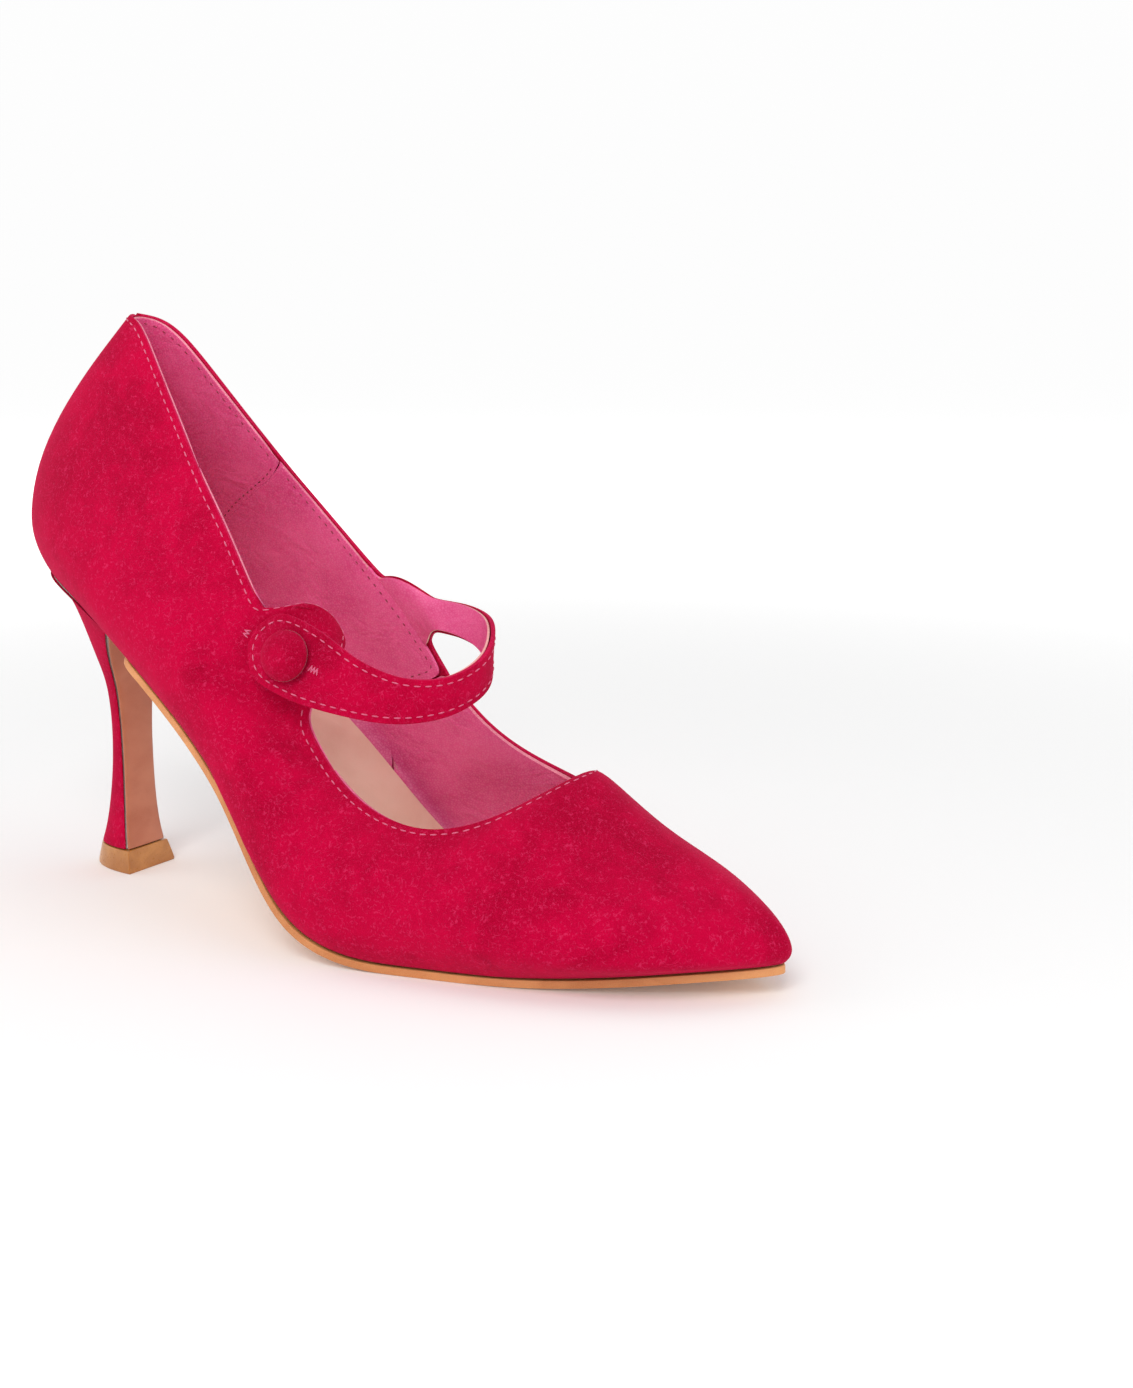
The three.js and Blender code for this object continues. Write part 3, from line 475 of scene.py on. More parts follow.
@dataclass(frozen=True)
class Steel(Finish):
    """Drawn steel."""

    body: Colour = srgb(186, 188, 190)
    drawn: Colour = srgb(150, 152, 156)

    def dress(self, tree: Tree, shader: bpy.types.Node) -> None:
        """Sets colour and fine draw lines.

        Args:
            tree: receives the nodes.
            shader: the material's shader.
        """
        vector = tree.place((1, 1, 0.05))
        lines = tree.noise(vector, 2500.0, 2.0, 0.6)
        tree.put(shader.inputs["Base Color"], tree.mix(lines, self.body, self.drawn))
        tree.put(shader.inputs["Metallic"], 1.0)
        tree.put(shader.inputs["Roughness"], tree.span(lines, 0.3, 0.7, 0.25, 0.42))
        tree.put(shader.inputs["Normal"], tree.bump(lines, 0.00003, 0.5))


@dataclass(frozen=True)
class Thread(Finish):
    """Twisted sewing thread or covered elastic."""

    body: Colour = srgb(238, 112, 152)
    shade: Colour = srgb(212, 64, 112)
    twist: float = 2600.0

    def dress(self, tree: Tree, shader: bpy.types.Node) -> None:
        """Sets colour and the twist of the ply.

        Args:
            tree: receives the nodes.
            shader: the material's shader.
        """
        vector = tree.place((1, 1, 1), (0.6, 0.4, 0.3))
        wave = tree.add("ShaderNodeTexWave", wave_type="BANDS", bands_direction="DIAGONAL")
        tree.put(wave.inputs["Vector"], vector)
        tree.put(wave.inputs["Scale"], self.twist)
        tree.put(wave.inputs["Distortion"], 1.5)
        ply = wave.outputs["Fac"]
        tree.put(shader.inputs["Base Color"], tree.mix(ply, self.shade, self.body))
        tree.put(shader.inputs["Roughness"], 0.6)
        tree.put(shader.inputs["Sheen Weight"], 0.3)
        tree.put(shader.inputs["Normal"], tree.bump(ply, 0.00006, 0.6))


FINISHES: list[Finish] = [
    Suede("crimson_suede", "suede"),
    Suede("suede_cut_edge", "suede", deep=srgb(160, 0, 40), body=srgb(186, 8, 58), bloom_and_sheen=srgb(212, 44, 96)),
    Leather("pink_lining", "lining_leather"),
    Leather("lining_cut_edge", "lining_leather", body=srgb(232, 134, 156), shade=srgb(206, 96, 124),
            light=srgb(242, 176, 180), creases=0.1),
    Leather("strap_cut_edge", "lining_leather", body=srgb(240, 176, 168), shade=srgb(220, 140, 140),
            light=srgb(246, 200, 190), creases=0.1),
    Leather("beige_sock", "sock_leather", body=srgb(246, 218, 192), shade=srgb(236, 202, 174),
            light=srgb(250, 228, 208), grain_scale=1900.0, grain=0.5, creases=0.8, roughness=0.46),
    Leather("tan_sole", "sole", body=srgb(226, 164, 104), shade=srgb(202, 136, 80), light=srgb(236, 182, 128),
            grain_scale=1500.0, grain=0.5, creases=0.25, roughness=0.42),
    Leather("sole_edge", "sole", body=srgb(222, 152, 94), shade=srgb(192, 118, 66), light=srgb(232, 176, 122),
            grain_scale=2600.0, grain=0.7, creases=0.0, roughness=0.5),
    Leather("heel_breast_leather", "heel_breast", body=srgb(198, 128, 100), shade=srgb(182, 108, 82),
            light=srgb(208, 144, 116), grain_scale=2200.0, grain=0.4, creases=0.15, roughness=0.38),
    Leather("breast_edge", "heel_breast", body=srgb(150, 66, 56), shade=srgb(120, 44, 40),
            light=srgb(170, 90, 76), grain_scale=2200.0, grain=0.4, creases=0.0, roughness=0.4),
    Moulded("ochre_top_piece", "top_piece_rubber", body=srgb(196, 134, 66), shade=srgb(166, 102, 42),
            roughness=0.34, coat=0.2),
    Moulded("stiffener_sheet", "stiffener", body=srgb(216, 208, 192), shade=srgb(190, 182, 168), roughness=0.8),
    Moulded("fibre_board", "board", body=srgb(160, 128, 92), shade=srgb(128, 98, 66), roughness=0.9,
            depth=0.0001),
    Moulded("latex_foam", "foam", body=srgb(232, 226, 208), shade=srgb(210, 202, 182), roughness=0.9,
            depth=0.0002),
    Moulded("heel_plastic", "heel_plastic", body=srgb(233, 230, 220), shade=srgb(216, 212, 200), roughness=0.5),
    Steel("drawn_steel", "steel"),
    Thread("pink_thread", "suede", body=srgb(228, 104, 144), shade=srgb(204, 60, 108)),
    Thread("crimson_thread", "suede", body=srgb(170, 20, 66), shade=srgb(120, 6, 40)),
    Thread("elastic_cord", "elastic", body=srgb(200, 26, 78), shade=srgb(140, 8, 48), twist=1500.0),
]

GROUPS: dict[str, bpy.types.NodeTree] = {}
MATERIALS: dict[str, bpy.types.Material] = {}
SLOTS: dict[str, str] = {}


def prepare_finishes() -> None:
    """Builds the node groups and one material for each finish."""
    GROUPS["nap"] = nap_group()
    GROUPS["grain"] = grain_group()
    for finish in FINISHES:
        MATERIALS[finish.name] = finish.build()
        SLOTS[finish.name] = finish.slot


# ---------------------------------------------------------------- mesh helpers


class Motion(Enum):
    """How a piece follows the bodies."""

    SHOE = "shoe"
    STRAP = "strap"
    BUTTON = "button"
    STRAP_ROOT = "bends at the strap's root"


def node_mesh(node: str) -> bmesh.types.BMesh:
    """A merged copy of a CAD node, in quads where it has them.

    Args:
        node: the CAD node's name.

    Returns:
        A new bmesh.
    """
    bm = bmesh.new()
    bm.from_mesh(frame["nodes"][node].data)
    bmesh.ops.remove_doubles(bm, verts=bm.verts, dist=2e-6)
    bmesh.ops.join_triangles(bm, faces=bm.faces, angle_face_threshold=math.radians(50),
                             angle_shape_threshold=math.radians(80))
    return bm


def tree_of(*nodes: str) -> BVHTree:
    """A search tree of the faces of some CAD nodes.

    Args:
        nodes: their names.

    Returns:
        The tree.
    """
    joined = bmesh.new()
    for node in nodes:
        joined.from_mesh(frame["nodes"][node].data)
    tree = BVHTree.FromBMesh(joined)
    joined.free()
    return tree


def regions(bm: bmesh.types.BMesh, crease: float = math.radians(48)) -> list[set[bmesh.types.BMFace]]:
    """Groups faces that join smoothly.

    Args:
        bm: the mesh.
        crease: angle past which two faces don't join.

    Returns:
        The groups, the largest area first.
    """
    left = set(bm.faces)
    found = []
    while left:
        start = min(left, key=lambda face: face.index)
        group, waiting = {start}, [start]
        left.discard(start)
        while waiting:
            face = waiting.pop()
            for edge in face.edges:
                if len(edge.link_faces) == 2 and edge.calc_face_angle(0.0) < crease:
                    for other in edge.link_faces:
                        if other in left:
                            left.discard(other)
                            group.add(other)
                            waiting.append(other)
        found.append(group)
    return sorted(found, key=lambda group: -sum(face.calc_area() for face in group))


def border(region: set[bmesh.types.BMFace]) -> list[list[bmesh.types.BMVert]]:
    """Finds the loops round a region.

    Args:
        region: its faces.

    Returns:
        Closed loops of vertices, the longest first.
    """
    edges = {edge for face in region for edge in face.edges
             if sum(other in region for other in edge.link_faces) == 1}
    loops = []
    while edges:
        edge = min(edges, key=lambda item: item.index)
        edges.discard(edge)
        loop = [edge.verts[0], edge.verts[1]]
        while loop[-1] is not loop[0]:
            following = [item for item in loop[-1].link_edges if item in edges]
            if not following:
                break
            edges.discard(following[0])
            loop.append(following[0].other_vert(loop[-1]))
        loops.append(loop[:-1] if loop[-1] is loop[0] else loop)
    return sorted(loops, key=lambda loop: -len(loop))


def longest_run(points: list[Vector], keep: list[bool]) -> list[Vector]:
    """Finds the longest unbroken run of kept points on a closed loop.

    Args:
        points: the loop's points.
        keep: whether each point is kept.

    Returns:
        The run, or the whole loop closed on itself where every point is kept.
    """
    count = len(points)
    if all(keep):
        return points + points[:1]
    start = keep.index(False)
    best, run = [], []
    for step in range(1, count + 1):
        at = (start + step) % count
        if keep[at]:
            run.append(points[at])
        else:
            best, run = (run, []) if len(run) > len(best) else (best, [])
    return best


def resample(points: list[Vector], pitch: float) -> list[Vector]:
    """Spaces points evenly along a polyline.

    Args:
        points: the polyline.
        pitch: distance between the new points.

    Returns:
        The new points, from the first one.
    """
    out, left = [points[0].copy()], pitch
    for a, b in zip(points, points[1:]):
        length = (b - a).length
        at = left
        while at <= length:
            out.append(a.lerp(b, at / length))
            at += pitch
        left = at - length
    return out


def relaxed(points: list[Vector], rounds: int) -> list[Vector]:
    """Smooths a polyline with its ends held.

    Args:
        points: the polyline.
        rounds: how many times it is smoothed.

    Returns:
        The smoothed polyline.
    """
    for _ in range(rounds):
        inner = [(a + 2 * b + c) / 4 for a, b, c in zip(points, points[1:], points[2:])]
        points = [points[0], *inner, points[-1]]
    return points


class Piece:
    """One finished object of the shoe."""

    def __init__(self, name: str, bm: bmesh.types.BMesh, finishes: list[str]) -> None:
        """Makes the object.

        Args:
            name: the object's name.
            bm: its mesh, which is freed.
            finishes: names of its finishes, in the order of its material slots.
        """
        mesh = bpy.data.meshes.new(name)
        bm.to_mesh(mesh)
        bm.free()
        self.object = bpy.data.objects.new(name, mesh)
        bpy.context.scene.collection.objects.link(self.object)
        for finish in finishes:
            mesh.materials.append(MATERIALS[finish])
        self.slot = SLOTS[finishes[0]]
        mesh.shade_smooth()

    def refined(self, levels: int) -> "Piece":
        """Smooths the mesh by subdivision and keeps the result as the mesh.

        Args:
            levels: how many times it is subdivided.

        Returns:
            The piece itself.
        """
        modifier = self.object.modifiers.new("smooth", "SUBSURF")
        modifier.levels = modifier.render_levels = levels
        modifier.boundary_smooth = "PRESERVE_CORNERS"
        depsgraph = bpy.context.evaluated_depsgraph_get()
        final = bpy.data.meshes.new_from_object(self.object.evaluated_get(depsgraph))
        self.object.modifiers.clear()
        old = self.object.data
        final.name = old.name
        self.object.data = final
        bpy.data.meshes.remove(old)
        final.shade_smooth()
        return self

    def surface(self) -> BVHTree:
        """Reads the finished mesh.

        Returns:
            A search tree of its faces.
        """
        bm = bmesh.new()
        bm.from_mesh(self.object.data)
        tree = BVHTree.FromBMesh(bm)
        bm.free()
        return tree

    def settle(self, motion: Motion, *stands_for: str) -> "Piece":
        """Puts the piece on its body.

        Args:
            motion: how it follows the bodies.
            stands_for: CAD nodes that it replaces.

        Returns:
            The piece itself.
        """
        if motion is Motion.STRAP_ROOT:
            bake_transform(self.object, "shoe", "strap", start=BEND.start, end=BEND.end)
        else:
            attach(self.object, motion.value)
        if stands_for:
            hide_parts(*stands_for)
        LOG.info("%s: %d faces, %s", self.object.name, len(self.object.data.polygons), motion.value)
        return self


class RootBend:
    """Where leather bends as the strap swings: from the topline to just past it."""

    direction = Vector((0.72, -0.48, 0.50)).normalized()
    length = 3.5 * MM

    def __init__(self) -> None:
        """Finds the planes at which the bend starts and ends."""
        joint = next(item for item in frame["joints"] if item["name"] == "strap_swing")
        hinge = Vector(joint["pos_m"])
        quarter = frame["nodes"]["medial_quarter"].data.vertices
        reach = max((vertex.co - hinge).dot(self.direction) for vertex in quarter)
        self.start = hinge + self.direction * reach
        self.end = self.start + self.direction * self.length


BEND = RootBend()


# ---------------------------------------------------------------- seams and thread


@dataclass
class Region:
    """One face of a layer before it is refined: its outline and a search tree of its faces."""

    outline: list[Vector]
    tree: BVHTree

    @classmethod
    def of(cls, bm: bmesh.types.BMesh, faces: set[bmesh.types.BMFace]) -> "Region":
        """Reads the region from a bmesh.

        Args:
            bm: the layer's bmesh.
            faces: the region's faces.

        Returns:
            The region, which no longer needs the bmesh.
        """
        ordered = sorted(faces, key=lambda face: face.index)
        verts = [vert.co.copy() for vert in bm.verts]
        tree = BVHTree.FromPolygons(verts, [[vert.index for vert in face.verts] for face in ordered])
        return cls([vert.co.copy() for vert in border(faces)[0]], tree)

    def chain(self, others: BVHTree, limit: float, close: bool) -> list[Vector]:
        """Finds the longest run of the outline that keeps away from other pieces, or lies close to them.

        Args:
            others: the other pieces.
            limit: distance that counts as close.
            close: whether the close run is wanted.

        Returns:
            The run's points.
        """
        ring = resample(self.outline + self.outline[:1], 1.0 * MM)
        gaps = [others.find_nearest(point)[3] for point in ring]
        return longest_run(ring, [(gap < limit) if close else (gap > limit) for gap in gaps])

    def path(self, chain: list[Vector], inset: float, pitch: float) -> list[Vector]:
        """Line inside the region at a distance from a run of its outline.

        Args:
            chain: the run.
            inset: distance inside it.
            pitch: spacing of the returned points.

        Returns:
            Points on the region, evenly spaced.
        """
        line = relaxed(chain, 6)
        last = len(line) - 1
        square, vote = [], 0
        for index, point in enumerate(line):
            along = line[min(index + 1, last)] - line[max(index - 1, 0)]
            normal = self.tree.find_nearest(point)[1]
            side = normal.cross(along).normalized()
            square.append(side)
            probe = side * 1.2 * MM
            ahead, behind = (self.tree.find_nearest(point + step)[3] for step in (probe, -probe))
            vote += 1 if ahead < behind else -1
        sign = 1 if vote > 0 else -1
        moved = [self.tree.find_nearest(point + side * sign * inset)[0] for point, side in zip(line, square)]
        kept = [moved[0]]
        for index in range(1, len(moved)):
            along = line[min(index + 1, last)] - line[index - 1]
            if (moved[index] - kept[-1]).dot(along.normalized()) > 0.15 * MM:
                kept.append(moved[index])
        return resample(relaxed(kept, 4), pitch)


@dataclass
class Stitching:
    """A row of stitches on a finished surface."""

    pitch: float = 2.7 * MM
    length: float = 1.7 * MM
    width: float = 0.4 * MM
    height: float = 0.3 * MM
    sides: int = 6

    def sew(self, bm: bmesh.types.BMesh, path: list[Vector], surface: BVHTree) -> None:
        """Adds a stitch at each point of the path.

        Args:
            bm: receives the stitches.
            path: evenly spaced points.
            surface: the finished surface that they lie on.
        """
        for before, at, after in zip(path, path[1:], path[2:]):
            place, normal, _, _ = surface.find_nearest(at)
            self.stitch(bm, place, after - before, normal)

    def stitch(self, bm: bmesh.types.BMesh, place: Vector, along: Vector, normal: Vector) -> None:
        """Adds one stitch, slightly sunk at both ends.

        Args:
            bm: receives the stitch.
            place: its middle on the surface.
            along: direction of the row.
            normal: the surface's normal.
        """
        side = normal.cross(along).normalized()
        run = side.cross(normal).normalized()
        turn = Matrix((side, normal, run)).transposed().to_4x4()
        size = Matrix.Diagonal((self.width / 2, self.height / 2, self.length / 2, 1))
        centre = place + normal * self.height * 0.22
        bmesh.ops.create_uvsphere(bm, u_segments=self.sides, v_segments=6, radius=1.0,
                                  matrix=Matrix.Translation(centre) @ turn @ size)

    def bartack(self, bm: bmesh.types.BMesh, centre: Vector, along: Vector, surface: BVHTree,
                count: int = 6) -> None:
        """Adds a short zigzag of close stitches.

        Args:
            bm: receives the stitches.
            centre: middle of the tack.
            along: direction that it runs in.
            surface: the finished surface that it lies on.
            count: stitches in the zigzag.
        """
        _, normal, _, _ = surface.find_nearest(centre)
        across = normal.cross(along).normalized()
        run = across.cross(normal).normalized()
        for index in range(count):
            lean = run * (0.35 if index % 2 else -0.35) + across
            at = centre + run * (index - (count - 1) / 2) * 0.42 * MM
            place, face, _, _ = surface.find_nearest(at)
            Stitching(length=1.9 * MM, width=0.42 * MM).stitch(bm, place, lean, face)


# ---------------------------------------------------------------- layers


@dataclass
class Layer:
    """A sheet of suede or leather: a refined copy of one CAD slab."""

    node: str
    name: str
    finish: str
    edge_finish: str
    motion: Motion = Motion.SHOE
    swell: float = 0.0
    soften: float = 0.32 * MM
    levels: int = 2
    joins: tuple[str, ...] = ()
    join_reach: float = 0.9 * MM
    outer: Region | None = field(default=None, init=False)
    inner: Region | None = field(default=None, init=False)
    surface: BVHTree | None = field(default=None, init=False)

    def base(self) -> bmesh.types.BMesh:
        """Mesh that the layer starts from."""
        return node_mesh(self.node)

    def nodes(self) -> list[str]:
        """CAD nodes that the layer stands for."""
        return [self.node]

    def build(self) -> Piece:
        """Makes the refined sheet.

        Returns:
            The finished piece, on its body.
        """
        bm = self.base()
        if not bm.edges.layers.float.get("crease_edge"):
            bm.edges.layers.float.new("crease_edge")
        bm.normal_update()
        bm.verts.index_update()
        bm.faces.index_update()
        found = regions(bm)
        outer, inner = found[0], found[1]
        for face in bm.faces:
            face.material_index = 0 if face in outer or face in inner else 1
        if self.swell:
            for vert in {vert for face in outer for vert in face.verts}:
                facing = [face.normal for face in vert.link_faces if face in outer]
                vert.co += sum(facing, Vector()).normalized() * self.swell
            bm.normal_update()
        self.outer, self.inner = Region.of(bm, outer), Region.of(bm, inner)
        corners = [edge for edge in bm.edges
                   if len(edge.link_faces) == 2
                   and len({face.material_index for face in edge.link_faces}) == 2]
        closed = self.close_joins(bm, corners)
        corners = [edge for edge in corners if edge not in closed]
        bmesh.ops.bevel(bm, geom=corners, offset=self.soften, offset_type="OFFSET", segments=2,
                        profile=0.5, affect="EDGES", clamp_overlap=True, material=-1)
        piece = Piece(self.name, bm, [self.finish, self.edge_finish]).refined(self.levels)
        self.surface = piece.surface()
        return piece.settle(self.motion, *self.nodes())

    def close_joins(self, bm: bmesh.types.BMesh, corners: list[bmesh.types.BMEdge]) -> set[bmesh.types.BMEdge]:
        """Brings the rims that meet another layer up to it, and keeps them crisp.

        Args:
            bm: the layer's bmesh, with its rims marked.
            corners: edges between a face of the layer and a rim.

        Returns:
            The corner edges along those rims.
        """
        if not self.joins:
            return set()
        other = tree_of(*self.joins)
        rims = [face for face in bm.faces if face.material_index == 1
                and all(other.find_nearest(vert.co)[3] < self.join_reach for vert in face.verts)]
        for vert in {vert for face in rims for vert in face.verts}:
            vert.co = vert.co.lerp(other.find_nearest(vert.co)[0], 0.47)
        crease = bm.edges.layers.float["crease_edge"]
        closed = {edge for edge in corners if any(face in rims for face in edge.link_faces)}
        for edge in closed:
            edge[crease] = 1.0
            edge.smooth = False
        for face in rims:
            face.material_index = 0
        LOG.info("%s: %d rim faces meet a neighbour", self.name, len(rims))
        return closed


@dataclass
class QuarterAndStrap(Layer):
    """The inner quarter, which runs on into the strap as one piece of suede."""

    strap: str = "strap"
    reach: float = 0.62 * MM

    def nodes(self) -> list[str]:
        """CAD nodes that the piece stands for."""
        return [self.node, self.strap]

    def base(self) -> bmesh.types.BMesh:
        """Joins both slabs where the strap leaves the topline.

        Returns:
            One closed mesh.
        """
        quarter, strap = node_mesh(self.node), node_mesh(self.strap)
        pairs = self.facing(quarter, strap)
        joined = bmesh.new()
        for part, own in ((quarter, {a for a, _ in pairs}), (strap, {b for _, b in pairs})):
            ends = [face for face in part.faces if all(vert.index in own for vert in face.verts)]
            bmesh.ops.delete(part, geom=ends, context="FACES_ONLY")
        offset = len(quarter.verts)
        holder = bpy.data.meshes.new("join")
        for part in (quarter, strap):
            part.to_mesh(holder)
            joined.from_mesh(holder)
            part.free()
        bpy.data.meshes.remove(holder)
        joined.verts.ensure_lookup_table()
        target = {}
        for a, b in pairs:
            first, second = joined.verts[a], joined.verts[b + offset]
            first.co = (first.co + second.co) / 2
            target[second] = first
        bmesh.ops.weld_verts(joined, targetmap=target)
        loose = [edge for edge in joined.edges if not edge.link_faces]
        bmesh.ops.delete(joined, geom=loose, context="EDGES")
        opened = sum(1 for edge in joined.edges if len(edge.link_faces) != 2)
        LOG.info("%s: %d pairs joined, %d open edges", self.name, len(pairs), opened)
        return joined

    def facing(self, quarter: bmesh.types.BMesh, strap: bmesh.types.BMesh) -> list[tuple[int, int]]:
        """Finds the vertices that face each other across the gap.

        Args:
            quarter: the quarter's mesh.
            strap: the strap's mesh.

        Returns:
            Pairs of indices, the quarter's first.
        """
        quarter.verts.ensure_lookup_table()
        strap.verts.ensure_lookup_table()

        def nearest(point: Vector, verts: Iterable[bmesh.types.BMVert]) -> bmesh.types.BMVert:
            """Vertex nearest to a point."""
            return min(verts, key=lambda vert: (vert.co - point).length_squared)

        found = []
        for vert in strap.verts:
            other = nearest(vert.co, quarter.verts)
            if (other.co - vert.co).length < self.reach and nearest(other.co, strap.verts) is vert:
                found.append((other.index, vert.index))
        return found


# ---------------------------------------------------------------- sub-assemblies


@dataclass
class Upper:
    """Suede outside of the shoe, with its stitching."""

    vamp: Layer = field(default_factory=lambda: Layer(
        "vamp", "suede_vamp", "crimson_suede", "suede_cut_edge", joins=("medial_quarter",)))
    quarter: QuarterAndStrap = field(default_factory=lambda: QuarterAndStrap(
        "medial_quarter", "suede_quarter_and_strap", "crimson_suede", "suede_cut_edge", Motion.STRAP_ROOT,
        joins=("vamp",)))
    inset: float = 1.6 * MM
    free: float = 0.8 * MM

    def build(self) -> None:
        """Makes both pieces and their rows of stitches."""
        self.vamp.build()
        self.quarter.build()
        near_vamp = tree_of("medial_quarter", "outsole", "heel_cover", "heel_breast_cover")
        near_quarter = tree_of("vamp", "outsole", "heel_cover", "heel_breast_cover")
        self.sew("vamp_stitches", self.vamp, near_vamp, Motion.SHOE)
        self.sew("quarter_and_strap_stitches", self.quarter, near_quarter, Motion.STRAP_ROOT)

    def sew(self, name: str, layer: Layer, others: BVHTree, motion: Motion) -> None:
        """Sews along the free edge of a layer.

        Args:
            name: the name of the row.
            layer: the layer that is sewn.
            others: neighbours that its edge is hidden by.
            motion: how the row follows the bodies.
        """
        row = Stitching()
        chain = layer.outer.chain(others, self.free, close=False)
        bm = bmesh.new()
        row.sew(bm, layer.outer.path(chain, self.inset, row.pitch), layer.surface)
        Piece(name, bm, ["pink_thread"]).settle(motion)


@dataclass
class Linings:
    """Leather inside the shoe, with its seams."""

    heel: Layer = field(default_factory=lambda: Layer(
        "heel_grip_lining", "heel_grip", "pink_lining", "lining_cut_edge", swell=0.2 * MM,
        joins=("lateral_quarter_lining", "medial_quarter_lining")))
    outer_side: Layer = field(default_factory=lambda: Layer(
        "lateral_quarter_lining", "outer_quarter_lining", "pink_lining", "lining_cut_edge", swell=0.2 * MM,
        joins=("heel_grip_lining", "vamp_lining")))
    inner_side: Layer = field(default_factory=lambda: Layer(
        "medial_quarter_lining", "inner_quarter_lining", "pink_lining", "lining_cut_edge", swell=0.2 * MM,
        joins=("heel_grip_lining", "vamp_lining", "strap_lining"), join_reach=1.1 * MM))
    front: Layer = field(default_factory=lambda: Layer(
        "vamp_lining", "front_lining", "pink_lining", "lining_cut_edge", swell=0.2 * MM,
        joins=("lateral_quarter_lining", "medial_quarter_lining")))
    strap: Layer = field(default_factory=lambda: Layer(
        "strap_lining", "lining_of_strap", "pink_lining", "strap_cut_edge", Motion.STRAP_ROOT,
        soften=0.15 * MM, joins=("medial_quarter_lining",), join_reach=1.1 * MM))
    seam_inset: float = 1.0 * MM
    topline_inset: float = 1.7 * MM
    touching: float = 0.9 * MM
    shortest_run: int = 12

    def build(self) -> None:
        """Makes the linings, then the thread that shows on them."""
        for layer in (self.heel, self.outer_side, self.inner_side, self.front, self.strap):
            layer.build()
        self.seams()

    def seams(self) -> None:
        """Sews the heel grip's front edges and the thread along the topline."""
        seam, dark = bmesh.new(), bmesh.new()
        row = Stitching(pitch=2.3 * MM, length=1.2 * MM, width=0.4 * MM, height=0.22 * MM)
        for side in ("lateral_quarter_lining", "medial_quarter_lining"):
            chain = self.heel.inner.chain(tree_of(side), self.touching, close=True)
            row.sew(seam, self.heel.inner.path(chain, self.seam_inset, row.pitch), self.heel.surface)
        Piece("heel_grip_stitches", seam, ["crimson_thread"]).settle(Motion.SHOE)
        dots = Stitching(length=1.1 * MM, width=0.4 * MM, height=0.22 * MM)
        everything = ["heel_grip_lining", "lateral_quarter_lining", "medial_quarter_lining", "vamp_lining"]
        for layer in (self.heel, self.outer_side, self.inner_side, self.front):
            neighbours = [node for node in everything if node != layer.node]
            others = tree_of(*neighbours, "sock", "insole_board", "strap")
            chain = layer.inner.chain(others, self.touching, close=False)
            if len(chain) > self.shortest_run:
                dots.sew(dark, layer.inner.path(chain, self.topline_inset, dots.pitch), layer.surface)
        Piece("topline_stitches_inside", dark, ["crimson_thread"]).settle(Motion.SHOE)


@dataclass
class Bottom:
    """Sole, sock and pads."""

    sole_edge: float = 0.35 * MM
    sock_edge: float = 0.2 * MM
    fill: float = 0.8

    def build(self) -> None:
        """Makes the pieces under the foot."""
        Layer("outsole", "leather_sole", "tan_sole", "sole_edge", soften=self.sole_edge).build()
        Layer("sock", "leather_sock", "beige_sock", "beige_sock", soften=self.sock_edge).build()
        for node, name in (("heel_pad", "heel_cushion"), ("forefoot_pad", "forefoot_cushion")):
            self.pad(node, name)

    def pad(self, node: str, name: str) -> None:
        """Makes a foam pad that thins towards its edge.

        Args:
            node: the CAD node that it stands for.
            name: the pad's name.
        """
        piece = Piece(name, node_mesh(node), ["latex_foam"]).refined(2)
        piece.settle(Motion.SHOE, node)


@dataclass
class Heel:
    """Covered heel and its top piece."""

    cover_edge: float = 0.25 * MM
    corner: float = 0.35 * MM
    corner_angle: float = math.radians(48)

    def build(self) -> None:
        """Makes the cover, the breast and the top piece."""
        Layer("heel_cover", "suede_heel_cover", "crimson_suede", "crimson_suede",
              soften=self.cover_edge).build()
        Layer("heel_breast_cover", "heel_breast", "heel_breast_leather", "breast_edge",
              soften=self.cover_edge).build()
        self.top_piece()

    def top_piece(self) -> None:
        """Makes the flared top piece with worn corners."""
        bm = node_mesh("top_piece")
        bm.normal_update()
        sharp = [edge for edge in bm.edges if edge.calc_face_angle(0.0) > self.corner_angle]
        bmesh.ops.bevel(bm, geom=sharp, offset=self.corner, offset_type="OFFSET", segments=2, profile=0.5,
                        affect="EDGES", clamp_overlap=True, material=-1)
        Piece("moulded_top_piece", bm, ["ochre_top_piece"]).refined(2).settle(Motion.SHOE, "top_piece")


